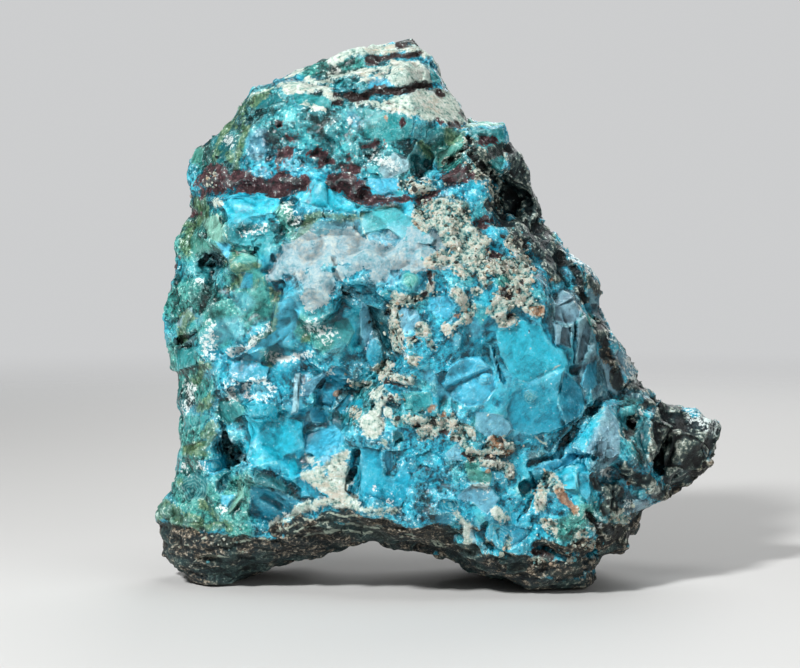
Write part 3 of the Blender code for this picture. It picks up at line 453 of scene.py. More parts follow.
# %% Soft leanings of the blue mass
LEANINGS = {
    "green": (
        (5, (-46, 62), (-41, 62)), (6, (-45, 50), (-41, 47)), (4, (-36, 57), (-33, 50)),
        (4, (-38, 79), (-42, 77)), (4, (-47, 40), (-44, 35)), (3, (-46, 28), (-44, 22)),
        (4, (-46, 17), (-42, 13)), (3, (-37, 12), (-36, 17)), (2.5, (-38, 31)), (2.5, (-26, 47), (-21, 43)),
        (2.0, (-24, 92.5), (-15, 92.8)), (2, (7, 77), (9.5, 76)), (3, (0, 79), (2, 76)),
        (2, (-9, 66.5), (-12, 65)), (2.5, (22.5, 9), (26, 12)), (2, (12, 54.5), (14, 54)), (1.3, (16, 33.5)),
        (2, (-27, 63), (-28, 66.5)), (1.5, (-22.4, 62.6)), (1.4, (-5.6, 54)), (2.5, (-36, 47)),
        (2, (6, 20.6)), (1.5, (33, 14)), (2, (4, 66)), (2, (26.5, 46.5)), (3, (-36, 9)), (2, (-31, 41)),
    ),
    "teal": (
        (7, (-32, 84), (-10, 82)), (5, (-20, 78), (-6, 76)), (6, (-44, 80), (-40, 76)),
        (5, (-46, 66), (-36, 61)), (5, (-43, 56), (-44, 46)), (4, (-20, 92), (-10, 91)),
        (5, (-46, 40), (-45, 16)), (3, (-36, 60), (-30, 62)), (4, (-24, 47), (-20, 44)),
        (4, (8, 78), (4, 76)), (3, (34, 32), (36, 24)), (3, (-13, 34), (-16, 30)), (3, (22, 8), (28, 12)),
        (3, (6, 34)), (4, (-34, 14), (-40, 18)),
    ),
    # Deep strokes darken the blue: partly a deeper colour, and partly painted shade in valleys, cracks and
    # under overhangs.
    "deep": (
        (2.4, (-38, 86), (-43, 79)), (2.2, (-30.5, 79.5)), (2.4, (-20.5, 82)), (4, (-40, 76), (-37, 84)),
        (3, (-33, 86)), (2.4, (-45.6, 66)), (2, (-24.6, 64)), (2.0, (-12, 76.5)), (2.4, (-3.5, 75)),
        (1.5, (-43, 58.6), (-39.5, 58)), (2.2, (-11.4, 47.4), (-9.6, 44), (-9.8, 41.4)),
        (2.2, (-15, 39), (-18, 35)), (2.2, (-20.5, 31.5), (-22, 29)), (1.8, (-36, 37.6), (-33, 38)),
        (1.4, (-38, 31)), (2.2, (-38, 24)), (1.7, (-31.5, 18.6), (-26.6, 16)), (1.2, (-23.6, 15.6)),
        (1.8, (-3.5, 14.5), (-2, 12)), (1.4, (-9, 23.5), (-9, 20.5)), (1.4, (9.2, 43.6), (9.4, 41.4)),
        (1.8, (26, 30.6), (22, 26), (18, 23.4)), (1.2, (28, 36.6), (28, 40)), (1.8, (20.5, 54.6)),
        (1.3, (23.5, 51)), (2, (34.6, 33.6)), (2, (38.8, 32.4)), (1.6, (-42.4, 50), (-41.6, 53)),
        (1.6, (-46, 43.6)), (2, (36.6, 22)), (1.2, (-17, 52), (-15, 50.4)), (1.4, (20, 48.4)),
        (1.6, (8, 6.2)), (2.4, (-20, 93)), (2, (-22, 86.6)), (1.6, (-41, 77)), (2, (-46, 33)),
        (1.6, (17, 22)), (2, (-24, 26.6)), (1.8, (33.4, 14)), (1.4, (31, 10)), (1.6, (-33, 84)),
    ),
    "bright": (
        # The first bright stroke lightens the blue under the left ledge, against the shade that falls there:
        # painted light.
        (1.6, (-36.6, 58.6), (-32.4, 58.8)), (2.6, (-21, 70.4), (-17, 68.4)), (2.4, (-23.6, 69.4)),
        (1.8, (-31.4, 68.6)), (3, (-37, 67), (-33, 66.4)), (2.2, (-27.5, 84)), (2.6, (-18.4, 80.6)),
        (2.2, (-24, 79)), (3, (-31.4, 25.4), (-29.4, 21.6)), (2, (-27, 20)), (3, (12, 43), (17, 42)),
        (3, (15, 31), (20.6, 33)), (2.2, (-16, 47.4), (-15, 44.4)), (1.8, (0.4, 48)), (2.4, (3.6, 37)),
        (1.4, (27.8, 29), (25.6, 26)), (2.2, (23.6, 19), (25.6, 14.4)), (2.4, (-12, 18)), (2.4, (4.6, 12.6)),
        (1.8, (14.4, 18), (15, 16)), (1.8, (16, 9)), (1.8, (-33, 15)), (2.4, (-22, 24), (-20, 26)),
        (2.2, (20, 37.6), (22, 36)), (1.6, (-22.8, 17)), (2.2, (-8, 24)), (2.4, (-4, 32.6)),
        (2, (-38.6, 14.8)), (2, (-44, 29)), (1.4, (-12, 71)), (2, (-1.6, 22.6)), (1.4, (-39.6, 21.4)),
        (2, (-34, 30)), (1.6, (7.4, 51)),
    ),
    "milky": (
        # The first milky stroke lightens the round glare at (-32.5, 34.2): a painted highlight.
        (1.4, (-32.5, 34.2)), (2.0, (-26.6, 49.4), (-28.6, 44.4), (-33, 41.2)),
        (1.2, (-33, 41.2), (-36.6, 39.4)), (2.0, (6.6, 38.2)), (1.8, (8, 28.6), (10.6, 27.2)),
        (2.2, (-33.4, 78.6)), (1.4, (2.6, 33.2), (0, 34.6)), (1.6, (6, 45.4)), (1.3, (3, 43.6)),
        (2.0, (6.4, 16.6)), (1.4, (-19.4, 27.6)), (1.4, (-13.4, 43.6), (-14, 46)), (2, (-44.6, 47)),
        (1.6, (-25.4, 86.4)), (2.4, (-41.4, 44), (-37, 46)), (1.6, (-10.4, 71.4)),
        (1.3, (-26.4, 31), (-25.6, 34)), (1.4, (8.6, 62)), (1.6, (-8, 75.4)), (2, (-44.6, 30)),
        (2, (-20, 22)), (1.6, (14, 26)), (1.6, (-7, 64), (-3, 61.6)), (1.4, (-16, 83)), (1.4, (6.6, 9.6)),
        (1.4, (24.6, 23.4), (21.6, 22.6)), (2, (-5, 46.4)), (1.4, (16.6, 36.4), (20.6, 38.4)),
        (2, (-35, 50.6)), (2, (-1.6, 36.6)), (2, (-42, 38)),
    ),
    "grey": (
        (2.8, (22.4, 50), (22, 46)), (2.2, (26, 43.4), (26, 38)), (2.4, (30, 39.4), (31, 36)),
        (2.0, (28.6, 49), (28.4, 52)), (2.2, (30, 27), (30.4, 23.4)), (1.8, (25.2, 36), (24.4, 33)),
        (2.2, (34, 14), (36, 13)), (1.4, (31.6, 44)), (1.6, (-32, 80.6), (-33, 77)),
        (1.2, (33.6, 34.6), (36.6, 34)), (2, (28.6, 20.6)), (1.6, (-23, 30)), (1, (16.6, 22.4)),
        (1.4, (27, 36), (28.6, 33.6)), (1.6, (-11, 45.6)), (1.4, (-38.6, 25)),
    ),
    "veil": (
        (3.2, (-24, 60.4), (-17, 62.4), (-15, 62)), (2.4, (-8, 62), (-3, 62.6)),
        (2.6, (-26.5, 55.6), (-23, 52)), (2.6, (-12, 60.4), (-6, 59)), (2, (-12.6, 54.6), (-9, 54.8)),
        (2, (-29, 57.6)),
    ),
    "calm": (
        (3.5, (-38, 59), (-31.6, 58.8)), (3, (-42, 57.4)), (4, (26.4, 46), (27, 37)), (3, (30.4, 38)),
        (3, (33.6, 29)), (3, (-5.6, 53.6)), (4, (-10, 65), (-4, 62)), (3, (-22, 58), (-16, 60)),
        (3, (-10, 58)), (3, (-34, 56), (-32, 50)), (8, (10, 43), (18, 38)), (7, (22, 42)),
        (5, (8, 34), (16, 30)), (5, (-26, 48), (-29, 42)), (5, (-14, 46), (-18, 44)),
        (4, (-30, 24), (-25, 22)), (3, (-20, 70)), (3, (-36, 67)), (3, (24, 17)), (4, (-12, 19)),
        (4, (8, 12)), (4, (-22, 28)), (4, (-6, 66), (-12, 65)), (4, (25, 36)), (3, (28, 50)), (4, (-40, 45)),
        (3, (0, 34)), (3, (16, 20)),
    ),
    "glitter": (
        # The first glitter stroke rings that glare with frost: a painted highlight.
        (0.9, (-35.2, 34.4), (-33.8, 35.8), (-31.4, 35.8), (-29.8, 34.6), (-31, 33), (-33.6, 32.6),
         (-35.2, 33.8)),
        (1.2, (-30.6, 40.4), (-26.5, 40.4), (-23, 40.4)), (2.3, (-23, 46), (-20.4, 44)),
        (1.3, (-38.4, 35), (-38, 33)), (1.7, (-41.4, 46), (-41.4, 41)),
        (1.1, (-38, 41), (-34, 42.8), (-31.4, 46)), (1.3, (-43.4, 54)), (1.2, (-35, 62.6), (-32, 63.4)),
        (1.6, (-27.6, 67), (-26, 65)), (1.8, (-12, 76), (-8.6, 75)), (1.4, (-38, 79)),
        (1.4, (-45, 35), (-45.6, 31)), (1.5, (-46, 20)), (1.4, (-39, 13)), (1.5, (45, 29.8), (49.6, 27.6)),
        (1.8, (34.4, 39.6), (34.4, 37)), (1.2, (39.6, 34.4)), (1.0, (36.4, 30.6)),
        (1.4, (24, 58.8), (27.6, 56)), (1.2, (31, 44)), (0.9, (-11.6, 17)), (1.2, (7.6, 17)), (1.4, (34, 14)),
        (1.4, (-20, 38)), (1.2, (-25, 34)), (1.4, (-3, 72)), (1, (-6, 41)), (1.2, (30, 19.6)),
        (1, (28.8, 10)), (1.2, (-16.6, 82.6)), (1.4, (-37, 36)), (1.4, (-43, 20.6)), (1.2, (-28, 12)),
        (1.4, (-9, 14.6)),
    ),
}
print("soft strokes:", sum(len(strokes) for strokes in LEANINGS.values()))

# %% [markdown]
# ## Plates
#
# Where the stone split cleanly it shows flat plates, each turned its own way and each with a colour
# of its own, because every split runs through another layer. They are the largest things the eye
# finds on the face. Noise never gives such planes, so each plate is drawn as a polygon on the sheet:
# its colour's name, how flat it is, how far it stands out, and its corners. Two have no flatness,
# because they only colour the faces of the spike, whose shape is given further down.

# %% Plates
TINTS = {
    "white": (0.66, 0.74, 0.68), "ice": (0.42, 0.68, 0.76), "milky": (0.17, 0.47, 0.64),
    "bright sky": (0.09, 0.6, 0.84), "sky": (0.06, 0.5, 0.74), "vivid": (0.012, 0.52, 0.7),
    "turquoise": (0.01, 0.5, 0.68), "cyan": (0.008, 0.39, 0.58), "blue": (0.014, 0.31, 0.48),
    "aqua": (0.03, 0.4, 0.47), "sea": (0.022, 0.32, 0.34), "teal": (0.008, 0.19, 0.22),
    "deep": (0.004, 0.09, 0.12), "night": (0.002, 0.022, 0.028), "haze": (0.07, 0.25, 0.33),
    "pale jade": (0.26, 0.56, 0.44), "jade": (0.07, 0.32, 0.25), "moss": (0.06, 0.13, 0.045),
    "grey": (0.23, 0.43, 0.54), "slate": (0.05, 0.11, 0.14),
}
# Plates in the deep tint lie in hollows and under cliffs: their dark tint is partly the stone's colour and
# partly painted shade.
PLATES = (
    ("sea", 0.5, 0.0, (-3, 93.6), (-0.6, 91.6), (0.2, 89.6), (-3, 90)),
    ("sky", 0.4, 0.0, (-13.4, 91.4), (-9.4, 90.4), (-8, 89), (-13, 88.4)),
    ("white", 0.8, 0.1, (-9.6, 86.6), (-5, 88.2), (-0.6, 88.8), (0.8, 88.2), (4.6, 84.6), (4, 82), (-1, 83.4),
     (-6, 85)),
    ("pale jade", 0.6, 0.3, (4.6, 83.4), (11.4, 83.4), (11.4, 82.1), (4.6, 81.8)),
    ("sea", 0.8, 0.2, (4.8, 81.2), (11.4, 81.6), (11.5, 76), (10.6, 71.4), (8.8, 74.4), (5.8, 78.6)),
    ("jade", 0.8, 0.1, (-0.6, 77.2), (4.4, 80), (4.4, 78), (-0.6, 73.8)),
    ("teal", 0.8, -0.2, (-6.6, 75.6), (-3.8, 79.6), (-0.8, 76.4), (-3, 72.4)),
    ("ice", 0.7, 0.3, (-11.4, 74.2), (-8.4, 77.2), (-5.4, 76), (-5.8, 73.8), (-9.6, 72.2)),
    ("sky", 0.8, 0.2, (-13.4, 72.4), (-8, 72.6), (-6.8, 70.8), (-10, 69.6), (-12.6, 70.6)),
    ("sea", 0.5, 0.1, (-13.8, 85.2), (-9.6, 84.4), (-5, 82.6), (-5.6, 79.6), (-9.8, 78.8), (-13.8, 79.8)),
    ("teal", 0.5, 0.0, (-4.6, 82.4), (3.2, 81), (2.6, 79.6), (-3, 78.6), (-5.2, 79.6)),
    ("teal", 0.7, 0.0, (-33.6, 87.2), (-29.6, 87.8), (-27.2, 86.2), (-31.6, 85.2), (-33.8, 85)),
    ("aqua", 0.7, 0.1, (-38.6, 63.6), (-33, 64.2), (-29.4, 62.4), (-30.6, 59.8), (-35, 60), (-38.2, 61)),
    ("sea", 0.5, 0.1, (-27, 88.1), (-20, 87.2), (-19.6, 85.2), (-25.8, 85.5)),
    ("jade", 0.7, 0.2, (-44.8, 79), (-42.4, 78), (-43, 75.4), (-45, 75)),
    ("teal", 0.6, 0.0, (-41.6, 80.2), (-37, 81.4), (-36.8, 76.2), (-40.2, 75)),
    ("vivid", 0.9, 0.35, (-27, 69.6), (-24.4, 70.8), (-23.2, 72.4), (-21.4, 72.3), (-18.8, 69.8), (-15, 68.1),
     (-15.4, 66), (-20, 66.8), (-24, 67.4)),
    ("vivid", 0.9, 0.25, (-40.2, 68.4), (-34, 69.4), (-28, 69.4), (-30.2, 66.2), (-34.6, 65.2), (-38.2, 64),
     (-38.8, 66.2)),
    ("jade", 0.6, 0.0, (-29.4, 65.8), (-27.8, 68.2), (-26.4, 66.6), (-27.6, 64.2)),
    ("aqua", 0.8, 0.2, (-14.6, 66.4), (-8.4, 67.3), (-4.4, 65), (-1, 61.6), (-1.6, 60.4), (-6, 61),
     (-9.4, 63.2), (-12, 63), (-14.2, 62)),
    ("haze", 0.5, 0.0, (-26.4, 63.2), (-22, 65), (-15.6, 64.6), (-15, 62), (-20, 62.2), (-24, 61)),
    # These two small white plates are painted highlights: lamp reflections on two smooth facets.
    ("white", 0.9, 0.2, (-13.2, 18), (-11.7, 18.3), (-11, 16.7), (-12, 15.5), (-13.1, 16.2)),
    ("white", 0.9, 0.3, (4.9, 17.6), (8.8, 17.4), (8.4, 16.5), (5.6, 16.3)),
    ("pale jade", 0.8, 0.3, (-43.2, 65.4), (-40, 65.9), (-38.8, 63.6), (-38.8, 60.4), (-41.8, 61.8)),
    ("jade", 0.7, 0.1, (-45.2, 62.4), (-42.2, 61.6), (-40.6, 59.9), (-43.6, 58.6), (-45.4, 60)),
    ("slate", 0.9, -0.6, (-43.6, 59.1), (-40.6, 59.4), (-38.7, 57.5), (-41.6, 57)),
    ("deep", 0.9, -0.9, (-42, 57), (-38.8, 57.3), (-40.6, 54.6)),
    ("sky", 0.7, 0.3, (-40.4, 61.4), (-37.8, 60.6), (-38.2, 57.6), (-39.7, 59.7)),
    ("ice", 0.8, 0.4, (-47.6, 46.2), (-45.7, 49.1), (-44.6, 49.4), (-44.4, 47.6), (-46.4, 45.4)),
    ("sea", 0.8, 0.2, (-46.3, 45.2), (-44.4, 47.1), (-43.7, 46.2), (-45, 44.9)),
    ("deep", 0.9, -0.5, (-48.2, 42.7), (-44.2, 45.1), (-43.6, 43.4), (-45, 42.7)),
    ("sea", 0.9, 0.1, (-47.8, 42.1), (-43.9, 42.1), (-43.7, 38.8), (-47.4, 37.8)),
    ("blue", 0.7, -0.1, (-36.2, 55.8), (-33.8, 55.4), (-33.8, 52.8), (-36.2, 52.6)),
    ("bright sky", 0.85, 0.5, (-29.8, 50.4), (-26.8, 51.2), (-25.2, 48.6), (-26.2, 45.2), (-30, 42.6),
     (-35, 40.8), (-37.6, 39.8), (-34.4, 42.2), (-30.6, 44.6)),
    ("cyan", 0.7, 0.0, (-38, 39.6), (-33.4, 39.8), (-30.8, 38.5), (-31, 36.2), (-36, 35.8), (-38.6, 37)),
    ("turquoise", 0.6, 0.1, (-35.6, 32.2), (-29.6, 31.8), (-29.2, 28.8), (-33.6, 28.8)),
    ("sea", 0.9, 0.2, (-39.9, 32.4), (-36.2, 32.4), (-35.6, 29.8), (-38.5, 28), (-39.9, 30)),
    ("ice", 0.5, 0.3, (-26.2, 37.4), (-25, 37.6), (-25.8, 30.2), (-26.9, 30)),
    ("milky", 0.6, 0.2, (-25, 35.4), (-20.8, 37.8), (-20.2, 37), (-23.2, 33.8), (-25, 32.8)),
    ("blue", 0.7, -0.1, (-19.8, 38.8), (-17, 38.4), (-15.8, 36.6), (-18, 34.6), (-19.6, 31), (-22.6, 31.8),
     (-22.2, 33.6), (-20.8, 36.4)),
    ("blue", 0.5, 0.0, (-23.8, 31.4), (-20.4, 30.8), (-20.2, 28.6), (-23.4, 28.6)),
    ("cyan", 0.8, 0.3, (-18.9, 31.3), (-16.2, 33.8), (-15.7, 32.4), (-17.4, 29.9)),
    ("turquoise", 0.8, 0.4, (-15.9, 32.7), (-14, 32.9), (-14, 31.1), (-15.7, 31)),
    ("deep", 0.6, -0.1, (-13.4, 50), (-10.2, 48.7), (-8.8, 45.6), (-8.6, 42.4), (-9, 40.4), (-11, 43.4),
     (-12, 47)),
    ("milky", 0.6, 0.3, (-14.1, 50.4), (-12.7, 48.6), (-12.2, 45.6), (-13, 41.8), (-14.3, 44), (-14.5, 48)),
    ("cyan", 0.5, 0.1, (-12.2, 43.8), (-10.8, 42.2), (-10.2, 39.5), (-12.6, 38.2), (-13.4, 41)),
    ("sea", 0.5, 0.1, (-19, 46.8), (-16.6, 47.4), (-15.4, 45), (-16.6, 42.6), (-19.2, 44)),
    ("turquoise", 0.5, 0.1, (-35.4, 29.4), (-28.4, 29.8), (-24.6, 28.8), (-24.8, 24.2), (-29, 21.8),
     (-33.6, 20.8), (-35.2, 22.2), (-34.8, 26)),
    # A near-black plate sunk into the crack at the left: painted shade in a dark pocket as well as dark
    # stone.
    ("night", 0.7, -0.9, (-39.5, 28.4), (-38.3, 26.6), (-36.9, 22.7), (-38, 21.2), (-39.4, 24)),
    ("slate", 0.8, -0.4, (-37.5, 23.3), (-34.9, 23.1), (-35.1, 21.5), (-37.5, 21.6)),
    ("sea", 0.6, 0.1, (-46.4, 26.8), (-42.6, 28.4), (-41, 29.8), (-46.2, 29.8)),
    ("moss", 0.5, 0.1, (-46.6, 24.3), (-42, 25.4), (-40.7, 27.4), (-40.1, 26.6), (-41.6, 24.3),
     (-45.4, 22.6)),
    ("cyan", 0.6, 0.1, (-43.8, 21.7), (-38.8, 22.4), (-38.2, 20.3), (-41, 19), (-43.4, 20.7)),
    ("teal", 0.6, 0.2, (-46.4, 18.6), (-43.6, 19.8), (-42, 18.2), (-42.2, 15.2), (-45.2, 14.6),
     (-46.6, 16.4)),
    # This teal plate is dark partly by colour and partly as painted shade of a facet that turns away from the
    # light.
    ("teal", 0.9, -0.2, (-33.4, 20.1), (-28.6, 18.2), (-26.2, 15.4), (-29, 16.3), (-33.8, 17.7)),
    ("cyan", 0.9, -0.2, (-25.9, 18.5), (-24.7, 19), (-22.7, 17.3), (-21.3, 15.3), (-24.7, 14.8), (-25.8, 16)),
    ("blue", 0.8, 0.1, (-34.2, 17.3), (-29, 15.9), (-25.8, 14.7), (-27.2, 12), (-30.6, 10.5), (-34.4, 11.8)),
    ("sky", 0.8, 0.2, (-39.7, 15.5), (-36.8, 15.5), (-38.4, 13.2), (-39.5, 13.7)),
    ("pale jade", 0.6, 0.3, (-36.5, 19.6), (-35.7, 19.4), (-35.5, 15), (-37.9, 12), (-38.3, 12.7),
     (-36.5, 15.6)),
    ("deep", 0.7, -0.5, (-40.5, 18.1), (-38.1, 19.3), (-38.6, 16.7), (-40, 15.8)),
    ("turquoise", 0.6, 0.2, (-27.4, 21.5), (-26.1, 22.8), (-25.5, 20.6), (-26.6, 17.6), (-27.5, 18.5)),
    ("sky", 0.7, 0.1, (-24.4, 26.4), (-19, 28.2), (-17.2, 26), (-18.6, 22.8), (-21.6, 22.2), (-24.4, 23.2)),
    ("cyan", 0.8, 0.1, (-14.4, 24.4), (-10.8, 23.8), (-10.4, 19), (-8.4, 18.6), (-6.4, 21.6), (-4.8, 17.6),
     (-7.4, 13.4), (-10.6, 14.2), (-14.8, 15.8), (-14.6, 20)),
    ("blue", 0.8, -0.1, (-10.3, 23.5), (-8.7, 23.3), (-8.5, 21), (-9.6, 19), (-10.1, 21)),
    ("teal", 0.8, 0.2, (-8.5, 27.3), (-6.8, 26.6), (-6.5, 25.2), (-8.5, 25.1)),
    ("milky", 0.95, 0.4, (2.8, 15.1), (5.4, 17.5), (9, 17), (10.8, 14.9), (8.4, 11.9), (6, 14)),
    ("jade", 0.9, 0.3, (4.5, 20.4), (9.2, 19.8), (9, 17.5), (4.9, 18)),
    ("cyan", 0.7, 0.1, (0, 15), (2.2, 14.4), (4.4, 12.3), (3, 11.5), (1.4, 12.4), (-1, 13)),
    ("blue", 0.9, 0.3, (-1.1, 12), (1.6, 12), (2.1, 10.7), (0.8, 9.2), (-0.7, 10.1)),
    ("milky", 0.9, 0.2, (1.3, 9.3), (2.6, 9.7), (3.4, 8.2), (2.2, 7.3)),
    ("ice", 0.6, 0.2, (3.8, 10.8), (5.8, 10.2), (6.6, 6.2), (5.2, 5.6), (4, 8)),
    ("cyan", 0.9, 0.3, (7.8, 9.5), (9.6, 10.2), (10.7, 8), (9.6, 6), (7.9, 7.7)),
    ("blue", 0.6, 0.1, (10.8, 10.2), (15, 9.8), (15.8, 8), (12.4, 5.8), (10.8, 7.4)),
    ("cyan", 0.8, 0.2, (12.5, 12.5), (15.4, 12.3), (15.4, 10.5), (12.9, 10.2)),
    ("milky", 0.6, 0.1, (0.8, 23), (3.4, 25.2), (3.7, 21.8), (1.5, 21.7)),
    ("milky", 0.7, 0.1, (6.4, 30.5), (11, 29.9), (13.2, 27.6), (12, 26), (7.8, 26.2), (6, 27.6)),
    ("sea", 0.6, 0.1, (-6.9, 33.9), (-1.6, 34.2), (-1.6, 31.7), (-3, 30.6), (-6.2, 30.8)),
    ("sky", 0.6, 0.3, (1.2, 38.3), (3.4, 40.3), (7, 40.5), (9.5, 37.8), (9.9, 34.6), (8, 32), (5, 31.2),
     (1.6, 33.1), (0.2, 35.4)),
    ("blue", 0.6, -0.1, (9, 42.4), (9.7, 42.2), (10.3, 39), (12, 36), (11.5, 35.4), (10.4, 36.8), (9.8, 38.6),
     (8.9, 40.8)),
    ("turquoise", 0.85, 0.1, (9.9, 44.8), (13.6, 46), (14.6, 47), (18.2, 45.9), (19, 43), (22.4, 41.4),
     (23.2, 38.8), (15.4, 35.6), (12.8, 37), (10.6, 41)),
    ("cyan", 0.85, 0.0, (15.6, 34.8), (22, 37.9), (21, 32), (22.2, 27.4), (16, 25.8), (12.8, 27.5),
     (11.8, 31), (13, 34)),
    ("blue", 0.85, 0.0, (22.2, 37.9), (24.4, 36.2), (26, 33.4), (25.4, 30.2), (22.4, 27.5), (21.2, 32)),
    ("grey", 0.85, 0.2, (20.4, 50.4), (22, 52.4), (24.2, 52.4), (25.4, 49), (24.8, 47.2), (23.6, 46.2),
     (20.6, 46.7)),
    ("grey", 0.85, 0.1, (20.2, 46.2), (23.6, 45.7), (23.5, 41.9), (20.8, 42.7)),
    ("grey", 0.9, 0.3, (24.7, 47.2), (26.2, 48), (27.1, 45.8), (26.6, 41.6), (25.8, 39.6), (24.8, 39.2),
     (24.5, 43.7)),
    ("blue", 0.9, 0.1, (26.1, 38.6), (28, 40), (28.3, 35.4), (26.4, 33.6), (25.2, 35.6)),
    ("grey", 0.9, 0.3, (28.9, 40.2), (31.6, 39.7), (32.6, 36.1), (32, 33.4), (30.2, 34.2)),
    ("vivid", 0.0, 0.0, (29.8, 31.6), (28.6, 28.8), (26.1, 23.4), (24.2, 24.2), (26.4, 27.8)),
    ("grey", 0.0, 0.0, (29.8, 31.6), (32.2, 28.8), (32.3, 23.0), (30.4, 21.0), (26.1, 23.4), (28.6, 28.8)),
    ("sky", 0.9, 0.2, (16.8, 20.5), (24.2, 23.5), (25.8, 22.9), (24.2, 21.2), (20.4, 19.8)),
    ("cyan", 0.9, 0.2, (26, 22.8), (27.3, 16.4), (26.6, 13.6), (24.8, 16.4), (24.4, 21)),
    ("turquoise", 0.9, 0.3, (20.5, 19.5), (24.1, 20.8), (24.5, 16.4), (21, 16.9)),
    ("deep", 0.8, 0.2, (34.8, 31.3), (37.5, 29), (37.7, 24), (36.8, 21.3), (34.9, 26.5)),
    # The tail's front is near-black: partly black crust, and partly painted shade from the cliff beside it.
    ("night", 0.9, 0.0, (39, 28.6), (45.6, 26.2), (49, 24), (46.4, 19.6), (40, 20.8)),
    ("grey", 0.7, 0.2, (31.5, 41.8), (34.8, 40.3), (35.8, 37.2), (33, 36.8), (31.2, 39)),
    ("slate", 0.7, 0.1, (27.2, 49.8), (29.6, 49.8), (31.8, 44.4), (30, 44.7), (28, 45.4)),
    ("grey", 0.7, 0.2, (34.4, 14.8), (37.6, 14.6), (37.6, 12.2), (34.6, 12)),
    ("jade", 0.7, 0.3, (15, 34.3), (16.6, 34.5), (17.5, 33.2), (16.2, 32.1), (14.9, 33)),
    ("sky", 0.6, 0.1, (-1.8, 51.2), (1.6, 51.4), (2.5, 49.4), (1.4, 47.4), (-1, 47.6), (-2.1, 49.4)),
    ("milky", 0.5, 0.1, (-7.3, 49.5), (-4, 48.9), (-3.5, 46), (-6.6, 44.6), (-7.8, 46.6)),
)
print("plates:", len(PLATES))

# %% [markdown]
# ## Cuts, swellings and the blade
#
# Between the large forms of the solid, the face has cracks, dark pockets and low domes of its own.
# Each is a stroke again, with one more number: how deep it is cut, or how high it swells, at its
# middle. A cut has steep walls and a swelling has soft ones. The spike at the right is a blade with
# two flat faces that meet in an edge. No stroke makes such an edge, so it is given as two polygons,
# and each of their corners has its own distance from the stone's middle plane.

# %% Cuts, swellings and the blade
CUTS = (
    (1.6, 1.7, (-42.6, 58.2), (-40, 57.4)), (0.8, 1.6, (-41.2, 55.4), (-42, 52), (-43, 48.8)),
    (0.6, 1.3, (-47.6, 43), (-44.4, 44.6)), (0.4, 1.1, (-30, 58.4), (-30.2, 57.6)),
    (0.4, 0.6, (-33.4, 59.6), (-32.6, 60.4)), (0.45, 1.2, (-19.3, 58), (-19.1, 57)),
    (0.35, 1.2, (-19.4, 56), (-18.1, 54), (-17.4, 52.2), (-15, 50.6)),
    (0.7, 1.4, (-39.7, 28.6), (-38.6, 25.6), (-37.6, 23.4)), (1.3, 1.8, (-37.4, 23), (-36, 21.4)),
    (0.9, 1.2, (-33, 19.6), (-29, 18), (-26, 16)), (0.8, 2.0, (-15.2, 23.4), (-15.7, 20.2), (-16.6, 18.4)),
    (0.35, 1.2, (-17, 18), (-17, 16.6), (-15.4, 15.2)),
    (0.22, 1.0, (24.4, 46.5), (24.3, 43.6), (24, 41.4), (24.2, 39.4)), (0.9, 2.0, (24.5, 38.2)),
    (1.1, 2.6, (28.6, 32), (25.2, 28), (23.2, 25.2), (21.6, 23.4)),
    (0.8, 1.7, (21.6, 23.4), (18.6, 21.8), (16.4, 21)),
    (0.25, 0.8, (16.4, 19.6), (16.9, 17.4), (16.3, 15), (15.2, 12.6), (14, 11)),
    (0.5, 1.2, (8.2, 10.4), (7.2, 8.4), (8, 6), (9.4, 5)), (0.8, 1.8, (5.6, 79.6), (6, 76), (8.6, 73.4)),
    (0.4, 1.3, (0.6, 75.4), (4.8, 78.4)), (0.8, 1.3, (24, 56.4), (25.6, 53), (25.4, 50.6)),
    (0.4, 0.5, (-13, 94), (-8, 94.2), (-4, 95)), (0.4, 0.5, (-19, 88), (-15, 87), (-10, 88.2), (-3, 89.3)),
    (0.5, 0.7, (-29, 82)), (0.6, 0.8, (-22.5, 77), (-20.6, 76.4)), (0.6, 0.8, (-12.6, 76.5), (-10.6, 78)),
    (0.8, 1.0, (-4.4, 76), (-3.4, 74)), (0.3, 0.9, (-19.2, 66.6), (-21.2, 66.8), (-20.8, 65.4)),
    (0.5, 0.9, (31, 16), (30.6, 13)), (0.6, 1.0, (17.4, 5.2), (19.4, 5)),
    (0.3, 0.8, (36.4, 33.6), (38.8, 32.6)), (0.4, 0.9, (-8.4, 24.4), (-7, 25.4)),
)
